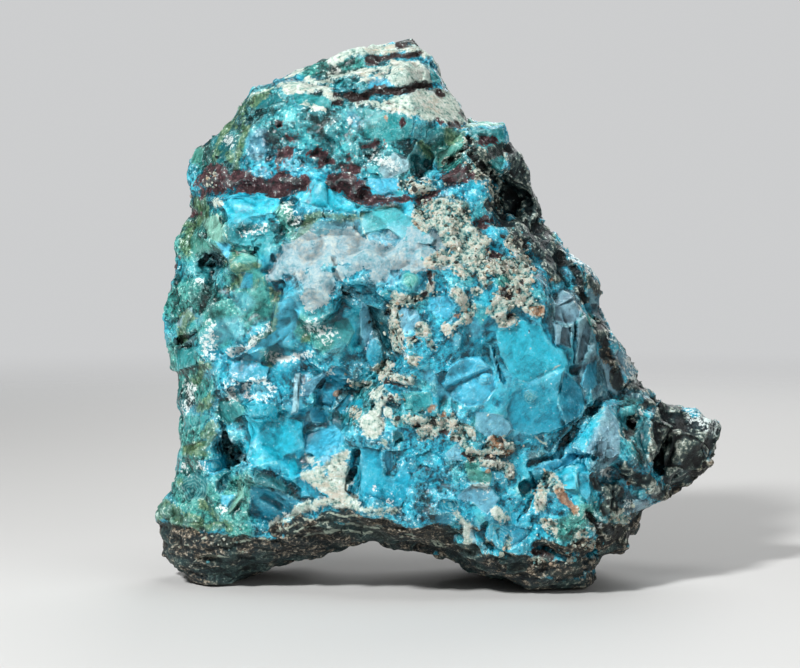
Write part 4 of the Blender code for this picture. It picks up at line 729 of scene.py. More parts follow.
SWELLINGS = (
    (2.2, 1.8, (-37.2, 58.2), (-32.4, 58.8)), (1.6, 2.0, (33.8, 29.6)), (2.2, 0.9, (-27, 82.6)),
    (2.4, 0.7, (-18, 81.6)), (3.4, 2.6, (-37, 61.4), (-32.6, 61)), (2.6, 1.6, (-5.4, 53.6)),
    (2.4, 0.8, (-12, 46), (-11, 43)), (2.6, 0.8, (-36, 56), (-34, 52)), (3.4, 0.7, (6.4, 36.6)),
    (1.4, 0.5, (16.2, 33.6)), (2.6, 0.9, (24.3, 21)), (3, 0.5, (12, 36), (19.6, 37.6)),
    (1.2, 0.4, (25.6, 24), (22, 23.4)), (2.2, 0.5, (24, 18.6), (26, 15.4)), (2.4, 0.5, (9.4, 8)),
    (2.2, 0.4, (-12, 18)), (2.6, 0.4, (-38.4, 67), (-33, 66.6)), (2.2, 0.5, (-21, 70), (-17, 68.6)),
    (1.6, 0.5, (10.6, 24.4)), (0.8, 0.5, (-34.4, 87), (-30, 88.2)), (2.4, 0.5, (-32.6, 34.6)),
    (1.6, 0.4, (8.6, 62.4)), (1.0, 0.5, (2.6, 52), (4, 50)), (0.9, 0.5, (1.4, 45.4), (4.4, 47.4)),
    (1.6, 0.4, (16.6, 49)), (1.0, 0.7, (-49, 12.6)), (1.4, 0.5, (28.8, 10.6)),
    (1.2, 0.6, (33.4, 14.4), (36.4, 14.4)), (0.8, 0.6, (37.8, 30), (37.6, 25)), (1.6, 0.4, (-18.2, 19.6)),
    (1.5, 0.4, (-12.4, 28.2)), (1.4, 0.4, (-47, 17.6)),
)
BLADE = (  # the faces' corners, each with how far it stands out from the stone's middle plane
    ((29.8, 31.6, 12.0), (28.4, 28.6, 15.1), (26.1, 23.4, 20.5), (24.2, 24.2, 17.0), (26.4, 27.8, 14.0)),
    ((29.8, 31.6, 12.0), (32.2, 28.8, 13.2), (32.3, 23.0, 17.2), (30.4, 21.8, 18.9), (26.1, 23.4, 20.5),
     (28.4, 28.6, 15.1)),
)
print("cuts and swellings:", len(CUTS), len(SWELLINGS))

# %% [markdown]
# ## Modelling clay from the solid
#
# The solid's surface is a few thousand flat triangles, too coarse to carve. It could be subdivided,
# but that keeps its long and short triangles. A voxel remesh gives an even skin of small cells
# instead, and a light smoothing rubs the flat triangles down, so that the carved forms are what shows.

# %% Modelling clay
CELL = 0.3  # the size of the clay's cells
RUB_DOWN = 3  # rounds of smoothing


def placed(name, data):
    """A new object in the scene that shows some data: a mesh, a lamp or a camera."""
    obj = bpy.data.objects.new(name, data)
    bpy.context.scene.collection.objects.link(obj)
    return obj


def apply_modifiers(obj):
    """Give an object the mesh that its modifiers make of it."""
    depsgraph = bpy.context.evaluated_depsgraph_get()
    mesh = bpy.data.meshes.new_from_object(obj.evaluated_get(depsgraph))
    obj.modifiers.clear()
    old = obj.data
    obj.data = mesh
    bpy.data.meshes.remove(old)


def clay_from_solid(name):
    """A copy of the solid, merged to one closed skin and given small even cells."""
    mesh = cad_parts[NODE].data.copy()
    mesh.materials.clear()
    merged = bmesh.new()
    merged.from_mesh(mesh)
    bmesh.ops.remove_doubles(merged, verts=merged.verts, dist=SAME_POINT)
    merged.to_mesh(mesh)
    merged.free()
    mesh.name = name
    clay = placed(name, mesh)
    remesh = clay.modifiers.new("even cells", "REMESH")
    remesh.mode = "VOXEL"
    remesh.voxel_size = CELL * MM
    rub = clay.modifiers.new("rub down", "SMOOTH")
    rub.factor = 0.5
    rub.iterations = RUB_DOWN
    apply_modifiers(clay)
    return clay


stone = clay_from_solid("chrysocolla_stone")
print("clay:", len(stone.data.vertices), "points")

# %% [markdown]
# ## Reading and moving points
#
# The clay has some hundred thousand points. A loop over them would be slow, so they are read into
# arrays, moved all at once, and written back. Averaging over neighbours tells which way a part of
# the stone looks when its small chips are left out of account.

# %% Reading and moving points
def read(rows, name, columns, kind=float):
    """One property of all of a mesh's points, edges or faces, as an array with so many columns."""
    flat = np.empty(columns * len(rows), dtype=kind)
    rows.foreach_get(name, flat)
    return flat.reshape(-1, columns)


def points_of(mesh):
    return read(mesh.vertices, "co", 3) / MM


def normals_of(mesh):
    return read(mesh.vertices, "normal", 3)


def edges_of(mesh):
    return read(mesh.edges, "vertices", 2, np.int64)


def place_points(mesh, points):
    mesh.vertices.foreach_set("co", (points * MM).ravel())
    mesh.update()


def neighbours_mean(values, edges):
    """The mean of each point's neighbours, along the mesh's edges."""
    ends = np.concatenate((edges[:, 0], edges[:, 1]))
    others = np.concatenate((edges[:, 1], edges[:, 0]))
    size = len(values)
    count = np.bincount(ends, minlength=size)
    sums = [np.bincount(ends, weights=column[others], minlength=size) for column in values.T]
    return np.stack([column / count for column in sums], axis=1)


def broad_normals(mesh, rounds=6):
    """Which way the surface looks when small chips and cracks are left out of account."""
    normals = normals_of(mesh)
    edges = edges_of(mesh)
    for _ in range(rounds):
        normals = neighbours_mean(normals, edges)
    return normals / np.linalg.norm(normals, axis=1)[:, None]


print("clay, mm:", np.round(np.ptp(points_of(stone.data), axis=0), 1))

# %% [markdown]
# ## Where the face ends
#
# A stroke on the sheet would go straight through the stone and come out at the back. So each point is
# told how much it belongs to the face: fully where the surface looks towards the eye, and not at all
# where it looks away. The back and the sides then get minerals of their own, in patches and seams
# that noise lays out through the whole body of the rock.

# %% Face and back
CARVED_FROM, CARVED_FULLY = -0.12, 0.16  # forms stop where the surface turns away
PAINTED_FROM, PAINTED_FULLY = -0.62, -0.28  # minerals run on round the edge
BACK_VEIN, BACK_CAP, BACK_BANDS = 70, 84, (87, 93)  # how high these are on the back


def face_share(points, normals, starts=CARVED_FROM, full=CARVED_FULLY):
    """1 where the surface looks towards the eye, and 0 where it looks away."""
    eye = aim + EYE_DISTANCE * to_eye
    sight = eye - points
    sight /= np.linalg.norm(sight, axis=1)[:, None]
    return ease((normals * sight).sum(axis=1), starts, full)


def back_minerals(points):
    """The minerals of the back, as depths in millimetres: patches laid out by noise, in level beds."""
    bedded = points * np.array((1.0, 1.0, 1.9))
    broad = smooth_noise(bedded, 17.0, 3) + 0.4 * smooth_noise(bedded, 6.0, 7)
    other = smooth_noise(bedded, 13.0, 11) + 0.4 * smooth_noise(bedded, 5.0, 13)
    third = smooth_noise(bedded, 9.0, 19) + 0.5 * smooth_noise(points, 3.5, 23)
    height = points[:, 2] + 5 * smooth_noise(points, 30.0, 31)
    vein_height = np.abs(height - BACK_VEIN) - 1.6
    band_height = np.minimum(*(np.abs(height - band) for band in BACK_BANDS)) - 0.6
    minerals = {name: np.full(len(points), -FAR) for name in MARKS}
    minerals.update({
        "matrix": 5 * (broad + 0.34) - 2 * ease(height, 30, 90), "black": 6 * (other - 0.3),
        "crust": 6 * (third - 0.34), "olive": 6 * (-other - 0.28),
        "chalk": np.minimum(5 * (third + 0.05), height - BACK_CAP),
        "vein": -vein_height + 2.0 * other - 0.6, "band": -band_height + 0.8 * other,
        "rust": 6 * (third - other - 0.75),
    })
    return {name: np.clip(depth, -FAR, FAR) for name, depth in minerals.items()}


def back_leanings(points):
    """The leanings of the back, as shares, from two noises in several mixtures."""
    first = smooth_noise(points, 11.0, 41)
    second = smooth_noise(points, 7.0, 43)
    return {
        "green": ease(first, -0.3, 0.5), "teal": ease(second + first, -0.4, 0.6),
        "deep": ease(second, -0.1, 0.6), "bright": ease(-second, 0.1, 0.7),
        "milky": ease(first - second, 0.5, 1.0), "grey": ease(second - first, 0.3, 0.9),
        "calm": ease(first, 0.0, 0.6), "veil": ease(second - first, 0.8, 1.3),
        "glitter": ease(first * second, 0.1, 0.4),
    }


print("share that belongs to the face:",
      round(face_share(points_of(stone.data), normals_of(stone.data)).mean(), 2))

# %% [markdown]
# ## What every point is made of
#
# The carving needs to know the minerals, because crust is lumpy where glass is chipped, and so does
# the finish. Each could look them up for itself, but their borders would drift apart. So one survey
# answers for any set of points: how deep each lies in each mineral, how far it leans one way or
# another, and which plate it is on. The sole and the underside are host rock in any case.

# %% The survey
LOOKS_DOWN = -0.4  # a normal that leans lower than this belongs to the underside
SOLE_ROCK, UNDERSIDE_ROCK = 3.0, 13  # how high the bare rock of each reaches


def plate_sheet(points):
    return on_sheet(points) + wander(points, 2.0, 0.22, 17)


def plates_at(points):
    """How deep each point lies in its nearest plate, how flat that plate is, and its tint."""
    sheet = plate_sheet(points)
    plate = np.full(len(points), -FAR)
    flat = np.zeros(len(points))
    colour = np.full((len(points), 3), 0.1)
    for tint, flatness, _, *corners in PLATES:
        few = around((0.0, *corners), sheet, FAR)
        depth = depth_in_polygon(corners, sheet[few])
        closer = depth > plate[few]
        few = few[closer]
        plate[few] = depth[closer]
        flat[few] = flatness
        colour[few] = TINTS[tint]
    return plate, flat, colour


def survey(points, normals):
    """The depth of every point in each mineral, its share of each leaning, and its plate's tint."""
    face = face_share(points, normals, PAINTED_FROM, PAINTED_FULLY)
    sheet = on_sheet(points) + wander(points, 3.6, 0.75, 5) + wander(points, 1.3, 0.3, 9)
    back = back_minerals(points)
    found = {}
    for name, strokes in MARKS.items():
        found[name] = face * depth_inside(strokes, sheet) + (1 - face) * back[name]
    sole = SOLE_ROCK - points[:, 2] + smooth_noise(points, 4.0, 51)
    underside = np.minimum(6 * (LOOKS_DOWN - normals[:, 2]), UNDERSIDE_ROCK - points[:, 2])
    underside = underside + smooth_noise(points, 5.0, 53)
    rock = np.clip(np.maximum(sole, underside), -FAR, FAR)
    found["matrix"] = np.maximum(found["matrix"], rock)
    back = back_leanings(points)
    for name, strokes in LEANINGS.items():
        found[name] = face * soft_share(strokes, sheet) + (1 - face) * back[name]
    plate, flat, colour = plates_at(points)
    front = face_share(points, normals)
    found["plate"] = front * plate - (1 - front) * FAR
    found["flat"] = flat * ease(found["plate"], -0.1, 0.3)
    return found, colour


print("minerals on the face:", len(MARKS), "leanings:", len(LEANINGS))

# %% [markdown]
# ## Swellings
#
# Carving goes from large to small, and the low swellings come first. A sculpting brush could raise
# them by hand. Here the stroke's row says where the brush goes and how hard it pulls, and each point
# rises along its own normal.

# %% Swellings
def relief(mesh, strokes, shape):
    """Raise the face along strokes, by a shape of the distance as a share of the half width."""
    points = points_of(mesh)
    normals = normals_of(mesh)
    sheet = on_sheet(points) + wander(points, 2.2, 0.35, 15)
    rise = np.zeros(len(points))
    for half_width, height, *corners in strokes:
        stroke = (half_width, *corners)
        few = around(stroke, sheet, 2 * half_width)
        change = height * shape(distance_to(stroke, sheet[few]) / half_width)
        rise[few] = np.where(np.abs(change) > np.abs(rise[few]), change, rise[few])
    place_points(mesh, points + normals * (rise * face_share(points, normals))[:, None])


relief(stone.data, SWELLINGS, lambda gap: np.clip(1 - (gap / 1.3) ** 2, 0, 1))
print("swollen, mm:", np.round(np.ptp(points_of(stone.data), axis=0), 1))

# %% [markdown]
# ## Pressing the plates flat
#
# A plate keeps the slope that the solid gives it, and loses only its unevenness. A boolean cut would
# need a plane for each, set by hand. Instead the plane nearest to the plate's own points is worked
# out, and they are brought towards it along the stone's depth. Then the whole plate steps out or in
# by its height, so that its rim shows as a small ledge.

# %% Pressing the plates flat
MOST_SETTLED = 0.9  # no point moves farther than this to reach its plane
PLATE_STEP = 0.6  # how far a plate of height 1 stands out
FEWEST_POINTS = 12  # a plate with fewer than this is left alone


def plane_through(places, levels):
    """The plane nearest to some levels, as a function of the place."""
    known = np.column_stack((places, np.ones(len(places))))
    plane = np.linalg.lstsq(known, levels, rcond=None)[0]
    return lambda where: where[:, 0] * plane[0] + where[:, 1] * plane[1] + plane[2]


def settle_plates(mesh):
    """Press the surface flat inside each plate, and move the plate by its own height."""
    points = points_of(mesh)
    face = face_share(points, normals_of(mesh))
    sheet = plate_sheet(points)
    for _, flatness, height, *corners in PLATES:
        few = around((0.0, *corners), sheet, 0.2)
        few = few[face[few] > 0.3]
        depth = depth_in_polygon(corners, sheet[few])
        inner = few[depth > 0]
        if len(inner) < FEWEST_POINTS:
            continue
        level = plane_through(points[inner][:, (0, 2)], points[inner, 1])
        away = level(points[few][:, (0, 2)]) - points[few, 1]
        shift = np.clip(away, -MOST_SETTLED, MOST_SETTLED) * flatness - PLATE_STEP * height
        points[few, 1] += shift * ease(depth, -0.1, 0.25) * face[few]
    place_points(mesh, points)


settle_plates(stone.data)
print("with plates, mm:", np.round(np.ptp(points_of(stone.data), axis=0), 1))

# %% [markdown]
# ## The blade
#
# The spike's two faces meet in one straight edge, and pressing them flat where they lie would leave
# it round. So their planes are worked out from the heights of their corners, and the surface is
# brought all the way to them.

# %% The blade
def raise_blade(mesh):
    """Bring the surface to the planes of the blade's two faces."""
    points = points_of(mesh)
    face = face_share(points, normals_of(mesh))
    sheet = plate_sheet(points)
    for corners in BLADE:
        outline = [corner[:2] for corner in corners]
        few = around((0.0, *outline), sheet, 0.3)
        few = few[(face[few] > 0.1) & (points[few, 1] < 0)]
        height = plane_through(np.array(outline), np.array(corners)[:, 2])
        share = ease(depth_in_polygon(outline, sheet[few]), -0.2, 0.1)
        points[few, 1] -= (height(sheet[few]) + points[few, 1]) * share
    place_points(mesh, points)


raise_blade(stone.data)
print("with the blade, mm:", np.round(np.ptp(points_of(stone.data), axis=0), 1))

# %% [markdown]
# ## Cuts, and each mineral's own surface
#
# The cracks come after the plates, so that no plate closes them. Last comes what the fingers feel:
# glassy chips on the blue, rounded lumps on the crust, flakes in level beds on the rock, shards on
# the black, and hardly anything on the dome and the plates. A displacement texture could do this too,
# but moved points keep the shape in any program.

# %% Cuts, and each mineral's own surface
STRAY = 0.35  # how far chips are bent out of their even spacing
BEDS = np.array((1.0, 1.0, 2.6))  # rock is squeezed to a pattern of thin level beds
SKINS = {  # the chips of each surface: their size, the waves they lie on, their height, a seed
    "glassy": ((3.6, 11.0, 1.15, 1), (1.9, 4.5, 0.6, 2), (1.0, 1.8, 0.16, 3)),
    "crumbly": ((0.8, 2.4, 0.7, 5),),
    "jagged": ((3.2, 8.0, 1.1, 8), (1.4, 3.0, 0.5, 9)),
    "rocky": ((3.4, 8.0, 0.8, 6), (1.4, 3.4, 0.5, 7)),
}
STANDS_OUT = {"crust": 0.25, "chalk": 0.2, "vein": -0.2, "band": -0.25}


def skin(name, points):
    return sum(chips(points, *sizes) for sizes in SKINS[name])


def over(share, points, heights):
    """A surface's heights, worked out only where there is some of it."""
    few = np.flatnonzero(share > 0.01)
    result = np.zeros(len(points))
    result[few] = share[few] * heights(points[few])
    return result


def roughen(mesh):
    """Give each mineral its own surface."""
    points = points_of(mesh)
    normals = normals_of(mesh)
    found = survey(points, broad_normals(mesh))[0]
    inside = {name: ease(found[name], -0.35, 0.35) for name in MARKS}
    crumbly = inside["crust"]
    jagged = inside["black"] * (1 - crumbly) * (1 - 0.8 * found["flat"])
    rocky = np.maximum(inside["matrix"], inside["vein"] * 0.5) * (1 - crumbly) * (1 - jagged)
    calm = np.maximum(inside["dome"], found["calm"])
    glassy = (1 - crumbly) * (1 - jagged) * (1 - rocky) * (1 - 0.85 * calm)
    glassy *= 1 - 0.5 * inside["chalk"]
    glassy *= 1 - 0.85 * found["flat"]
    strays = [smooth_noise(points, 2.5, seed) for seed in (81, 82, 83)]
    strayed = points + STRAY * np.stack(strays, axis=1)
    rise = over(glassy, strayed, lambda few: skin("glassy", few))
    rise += over(crumbly, strayed, lambda few: skin("crumbly", few) + 0.4 * lumps(few, 0.95, 4) - 0.2)
    rise += over(jagged, strayed, lambda few: skin("jagged", few))
    rise += over(rocky, strayed * BEDS, lambda few: skin("rocky", few))
    rise += sum(height * inside[name] for name, height in STANDS_OUT.items())
    rise += 0.06 * smooth_noise(points, 0.8, 71)
    sole = ease(points[:, 2], 0.05, 1.2)  # the sole stays where it stands
    place_points(mesh, points + normals * (rise * sole)[:, None])


relief(stone.data, CUTS, lambda gap: -0.65 * (1 - ease(gap, 0.35, 1.25)))
roughen(stone.data)
print("carved, mm:", np.round(np.ptp(points_of(stone.data), axis=0), 1))

# %% [markdown]
# ## Thinning out
#
# The clay's even cells are wasted on flat places. Decimation merges them there and keeps them where
# the surface bends, so that the same number of triangles shows more. The face has the finest work, so
# it keeps more of them than the back. The two are thinned apart, with the points along their common
# border held still, and then joined again into one closed skin.

# %% Thinning out
FACE_TRIANGLES = 146000
BACK_TRIANGLES = 50000
CRISP = math.radians(24)  # an edge bent more than this stays sharp


def split_off(obj, chosen):
    """Move the chosen faces to an object of their own."""
    part = placed(obj.name + "_part", obj.data.copy())
    for piece, unwanted in ((obj, chosen), (part, ~chosen)):
        cut = bmesh.new()
        cut.from_mesh(piece.data)
        cut.faces.ensure_lookup_table()
        dropped = [cut.faces[number] for number in np.flatnonzero(unwanted)]
        bmesh.ops.delete(cut, geom=dropped, context="FACES")
        cut.to_mesh(piece.data)
        cut.free()
    return part


def thin_out(obj, triangles):
    """Thin an object to so many triangles, with its border held still, and say how many it had."""
    mesh = obj.data
    now = sum(len(face.vertices) - 2 for face in mesh.polygons)
    ends = edges_of(mesh)
    edge_numbers = read(mesh.loops, "edge_index", 1, np.int64)[:, 0]
    sides = np.bincount(edge_numbers, minlength=len(mesh.edges))
    border = set(ends[sides == 1].ravel().tolist())
    free = obj.vertex_groups.new(name="free")
    inner = [number for number in range(len(mesh.vertices)) if number not in border]
    free.add(inner, 1.0, "REPLACE")
    thinner = obj.modifiers.new("thin out", "DECIMATE")
    thinner.ratio = min(1.0, triangles / now)
    thinner.use_collapse_triangulate = True
    thinner.vertex_group = free.name
    apply_modifiers(obj)
    return now


def join_again(obj, part):
    """Join two objects along their common border, and count the edges that stay open."""
    joined = bmesh.new()
    joined.from_mesh(obj.data)
    joined.from_mesh(part.data)
    bmesh.ops.remove_doubles(joined, verts=joined.verts, dist=SAME_POINT)
    joined.to_mesh(obj.data)
    open_edges = sum(len(edge.link_faces) != 2 for edge in joined.edges)
    joined.free()
    bpy.data.objects.remove(part)
    return open_edges


looks_back = face_share(points_of(stone.data), normals_of(stone.data)) < 0.5
corner_points = read(stone.data.loops, "vertex_index", 1, np.int64)[:, 0]
first_corners = read(stone.data.polygons, "loop_start", 1, np.int64)[:, 0]
back_faces = np.add.reduceat(looks_back[corner_points], first_corners) > 2
rear = split_off(stone, back_faces)
before = thin_out(stone, FACE_TRIANGLES) + thin_out(rear, BACK_TRIANGLES)
print("open edges:", join_again(stone, rear))
stone.data.shade_smooth()
stone.data.set_sharp_from_angle(angle=CRISP)
print("triangles:", before, "to", len(stone.data.polygons))

# %% [markdown]
# ## Writing the survey on the surface
#
# The finish needs to know what each point is made of, so the survey is written to the mesh as
# attributes. Three more come from the shape alone: how much a point lies in a small fold or in a wide
# hollow, which the finish darkens as painted shade, and how much it stands on a ridge, which the
# finish paints paler, partly as worn edges and partly as painted edge highlights. The blue islands
# are holes in the dome, so they are taken off its depth.

# %% Folds, ridges and the survey
def folds_and_ridges(mesh, rounds, scale):
    """How far each point lies below, and above, the mean of its surroundings, as shares of scale."""
    points = points_of(mesh)
    normals = normals_of(mesh)
    edges = edges_of(mesh)
    smoothed = points
    for _ in range(rounds):
        smoothed = neighbours_mean(smoothed, edges)
    sunk = ((smoothed - points) * normals).sum(axis=1) / scale
    return np.clip(sunk, 0, 1), np.clip(-sunk, 0, 1)


def write_attribute(mesh, name, values):
    attribute = mesh.attributes.new(name, "FLOAT", "POINT")
    attribute.data.foreach_set("value", values.astype(np.float32))


found, tint = survey(points_of(stone.data), broad_normals(stone.data))
found["dome"] = np.minimum(found["dome"], -found.pop("islands"))
for name, values in found.items():
    write_attribute(stone.data, name, values)
tints = stone.data.color_attributes.new("tint", "FLOAT_COLOR", "POINT")
opaque = np.column_stack((tint, np.ones(len(tint)))).astype(np.float32)
tints.data.foreach_set("color", opaque.ravel())
fold, ridge = folds_and_ridges(stone.data, rounds=3, scale=0.16)
hollow, _ = folds_and_ridges(stone.data, rounds=24, scale=0.8)
write_attribute(stone.data, "fold", fold)
write_attribute(stone.data, "ridge", ridge)
write_attribute(stone.data, "hollow", hollow)
print("attributes:", len(stone.data.attributes))

# %% [markdown]
# ## Writing shader maths
#
# A finish is a tree of nodes, and most of its nodes only add and multiply. Written out one by one
# they hide the idea. So one small class wraps a node's output, and its operators add the Math nodes:
# `1 - mask * 0.5` is then both the recipe and the code. Every other kind of node comes from one
# method, which takes the node's type, its settings, and what goes into its sockets.

# %% Values and paints
class Value:
    """A node's output, which can be used in sums."""

    def __init__(self, paint, socket):
        self.paint = paint
        self.socket = socket

    def maths(self, operation, first, second):
        return self.paint.node("ShaderNodeMath", {"operation": operation}, {0: first, 1: second})

    def __add__(self, other):
        return self.maths("ADD", self, other)

    def __sub__(self, other):
        return self.maths("SUBTRACT", self, other)

    def __rsub__(self, other):
        return self.maths("SUBTRACT", other, self)

    def __mul__(self, other):
        return self.maths("MULTIPLY", self, other)

    __radd__ = __add__
    __rmul__ = __mul__

    def largest(self, other):
        return self.maths("MAXIMUM", self, other)

    def size(self):
        """How far the value is from 0, on either side."""
        return self.maths("ABSOLUTE", self, 0.0)

    def waves(self):
        return self.maths("SINE", self, 0.0)

    def line(self, start, end):
        """1 where the value is within start of 0, and 0 beyond end: a thin line drawn by a cloud."""
        return 1 - self.size().eased(start, end)

    def output(self, name):
        """Another output of the same node."""
        return Value(self.paint, self.socket.node.outputs[name])

    def eased(self, start, end):
        """0 below start and 1 above end, with a smooth step between them."""
        return self.paint.node("ShaderNodeMapRange", {"interpolation_type": "SMOOTHSTEP"},
                               {"Value": self, "From Min": start, "From Max": end})


class Paint:
    """A material's node tree, and the one way in which its nodes are added."""

    def __init__(self, name):
        self.material = bpy.data.materials.new(name)
        self.material.use_nodes = True
        self.tree = self.material.node_tree
        self.tree.nodes.clear()

    def node(self, kind, settings=None, inputs=None, output=0):
        """Add a node: its type, its settings, what goes into its sockets, and the output wanted."""
        made = self.tree.nodes.new(kind)
        for name, value in (settings or {}).items():
            if name == "stops":
                self.fill_ramp(made.color_ramp, value)
            else:
                setattr(made, name, value)
        for name, value in (inputs or {}).items():
            if isinstance(value, Value):
                self.tree.links.new(value.socket, made.inputs[name])
            else:
                made.inputs[name].default_value = value
        return Value(self, made.outputs[output]) if len(made.outputs) else made

    def fill_ramp(self, ramp, stops):
        while len(ramp.elements) < len(stops):
            ramp.elements.new(1.0)
        for element, (position, colour) in zip(ramp.elements, stops):
            element.position = position
            element.color = (*colour, 1.0)

    def mixed(self, share, first, second):
        """A colour that is first where share is 0 and second where it is 1."""
        ends = [value if isinstance(value, Value) else (*value, 1.0) for value in (first, second)]
        return self.node("ShaderNodeMix", {"data_type": "RGBA"}, {0: share, 6: ends[0], 7: ends[1]}, 2)

    def ramp(self, value, *stops):
        return self.node("ShaderNodeValToRGB", {"stops": stops}, {"Fac": value})

    def attribute(self, name, output="Fac"):
        return self.node("ShaderNodeAttribute", {"attribute_name": name}, output=output)

    def place(self, stretch=(1.0, 1.0, 1.0), lean=0.0):
        """Where a point is on the stone, in millimetres, leaned over sideways and then stretched."""
        point = self.node("ShaderNodeTexCoord", output="Object")
        if lean:
            point = self.node("ShaderNodeVectorRotate", {"rotation_type": "Y_AXIS"},
                              {"Vector": point, "Angle": lean})
        factors = [value / MM for value in stretch]
        return self.node("ShaderNodeVectorMath", {"operation": "MULTIPLY"}, {0: point, 1: factors})

    def clouds(self, place, size, detail=3.0, roughness=0.55, distortion=0.0):
        """Noise from about -1 to 1, with blobs as large as size, in millimetres."""
        cloud = self.node("ShaderNodeTexNoise", inputs={
            "Vector": place, "Scale": 1 / size, "Detail": detail,
            "Roughness": roughness, "Distortion": distortion})
        return (cloud - 0.5) * 4.0

    def bent(self, place, size, reach):
        """The same places, pushed about by noise, which turns straight patterns into swirls."""
        push = self.node("ShaderNodeTexNoise", output="Color",
                         inputs={"Vector": place, "Scale": 1 / size, "Detail": 2.0})
        return self.node("ShaderNodeVectorMath", {"operation": "MULTIPLY_ADD"},
                         {0: push, 1: (reach, reach, reach), 2: place})

    def scaled(self, colour, factor):
        return self.node("ShaderNodeVectorMath", {"operation": "SCALE"}, {0: colour, "Scale": factor})

    def taken(self, first, second):
        """One vector less another."""
        return self.node("ShaderNodeVectorMath", {"operation": "SUBTRACT"}, {0: first, 1: second})

    def cells(self, place, size):
        """Cells as large as size, each with a random colour of its own."""
        return self.node("ShaderNodeTexVoronoi", inputs={"Vector": place, "Scale": 1 / size},
                         output="Color")

    def shards(self, place, size):
        """Height of small tilted facets: each cell leans its own way from its middle."""
        way = self.cells(place, size)
        away = self.taken(place, way.output("Position"))
        lean = self.taken(way, (0.5, 0.5, 0.5))
        return self.node("ShaderNodeVectorMath", {"operation": "DOT_PRODUCT"}, {0: away, 1: lean},
                         "Value")

    def finish(self, colour, roughness, height=None, **more):
        """The surface itself: a colour, a roughness and a fine relief, in millimetres."""
        inputs = {"Base Color": colour, "Roughness": roughness, **more}
        if height is not None:
            inputs["Normal"] = self.node("ShaderNodeBump", inputs={
                "Strength": 1.0, "Distance": MM, "Height": height})
        surface = self.node("ShaderNodeBsdfPrincipled", inputs=inputs)
        self.node("ShaderNodeOutputMaterial", inputs={"Surface": surface})
        return self.material


print("paint tools ready")

# %% [markdown]
# ## The colours of the minerals
#
# One flat colour with a little noise on it looks like plastic. So each mineral has a ramp, from its
# darkest grain to its palest, and clouds of noise pick the place on it, which gives dark pits, body
# colour and pale grains in the right amounts. The blue mass has three ramps, for its three leanings.

# %% The colours of the minerals
BLUES = (
    (0.0, (0.002, 0.018, 0.028)), (0.2, (0.003, 0.09, 0.14)), (0.42, (0.005, 0.26, 0.4)),
    (0.64, (0.012, 0.46, 0.65)), (0.86, (0.05, 0.62, 0.8)), (1.0, (0.3, 0.78, 0.88)),
)
GREENS = (
    (0.0, (0.003, 0.025, 0.02)), (0.3, (0.012, 0.12, 0.09)), (0.6, (0.045, 0.33, 0.25)),
    (0.85, (0.18, 0.54, 0.39)), (1.0, (0.5, 0.76, 0.62)),
)
GREYS = (
    (0.0, (0.01, 0.035, 0.05)), (0.4, (0.05, 0.15, 0.21)), (0.7, (0.14, 0.32, 0.41)),
    (1.0, (0.45, 0.62, 0.68)),
)
OLIVES = (
    (0.1, (0.01, 0.035, 0.014)), (0.4, (0.06, 0.15, 0.06)), (0.6, (0.16, 0.27, 0.11)),
    (0.8, (0.4, 0.48, 0.26)), (1.0, (0.75, 0.78, 0.58)),
)
DOMES = (
    (0.15, (0.07, 0.34, 0.42)), (0.42, (0.28, 0.47, 0.54)), (0.6, (0.43, 0.55, 0.58)),
    (0.85, (0.64, 0.66, 0.59)),
)
CHALKS = (
    (0.1, (0.02, 0.08, 0.07)), (0.28, (0.2, 0.36, 0.31)), (0.5, (0.5, 0.58, 0.5)),
    (0.85, (0.78, 0.81, 0.75)),
)
CRUMBS = (
    (0.0, (0.004, 0.008, 0.008)), (0.12, (0.015, 0.03, 0.025)), (0.22, (0.05, 0.26, 0.28)),
    (0.34, (0.22, 0.42, 0.38)), (0.46, (0.46, 0.56, 0.47)), (0.6, (0.68, 0.72, 0.64)),
    (0.7, (0.58, 0.42, 0.28)), (0.76, (0.72, 0.66, 0.54)), (0.86, (0.54, 0.42, 0.42)),
    (0.96, (0.9, 0.9, 0.84)),
)
BANDS = ((0.2, (0.006, 0.003, 0.003)), (0.6, (0.04, 0.018, 0.018)), (0.95, (0.16, 0.1, 0.09)))
VEINS = (
    (0.1, (0.008, 0.003, 0.004)), (0.45, (0.055, 0.02, 0.026)), (0.75, (0.11, 0.052, 0.06)),
    (1.0, (0.28, 0.17, 0.15)),
)
RUSTS = ((0.2, (0.08, 0.025, 0.01)), (0.5, (0.34, 0.15, 0.06)), (0.9, (0.72, 0.45, 0.26)))
ROCKS = (
    (0.14, (0.002, 0.002, 0.002)), (0.38, (0.01, 0.01, 0.007)), (0.52, (0.035, 0.03, 0.02)),
    (0.64, (0.12, 0.088, 0.055)), (0.78, (0.36, 0.28, 0.19)), (0.94, (0.62, 0.55, 0.44)),
)
SLATES = (
    (0.15, (0.003, 0.008, 0.008)), (0.5, (0.02, 0.042, 0.038)), (0.75, (0.06, 0.1, 0.085)),
    (1.0, (0.3, 0.33, 0.26)),
)
# The palest stops are painted highlights of the black crust, on its ridges and in its fine noise.
BLACKS = (
    (0.3, (0.001, 0.0015, 0.0015)), (0.56, (0.005, 0.007, 0.005)), (0.7, (0.022, 0.03, 0.018)),
    (0.82, (0.15, 0.16, 0.11)), (1.0, (0.62, 0.6, 0.5)),
)

print("darkest and palest blue:", BLUES[0][1], BLUES[-1][1])

# %% [markdown]
# ## The patterns of the finish
#
# A stone changes colour at every scale at once. One noise with many octaves could serve, but every
# mineral would then show the same blotches. So a handful of patterns is laid out once, and each
# recipe mixes its own few of them: clouds of three sizes, level beds, leaning streaks, and patches
# that have one even value each, as in a mosaic.

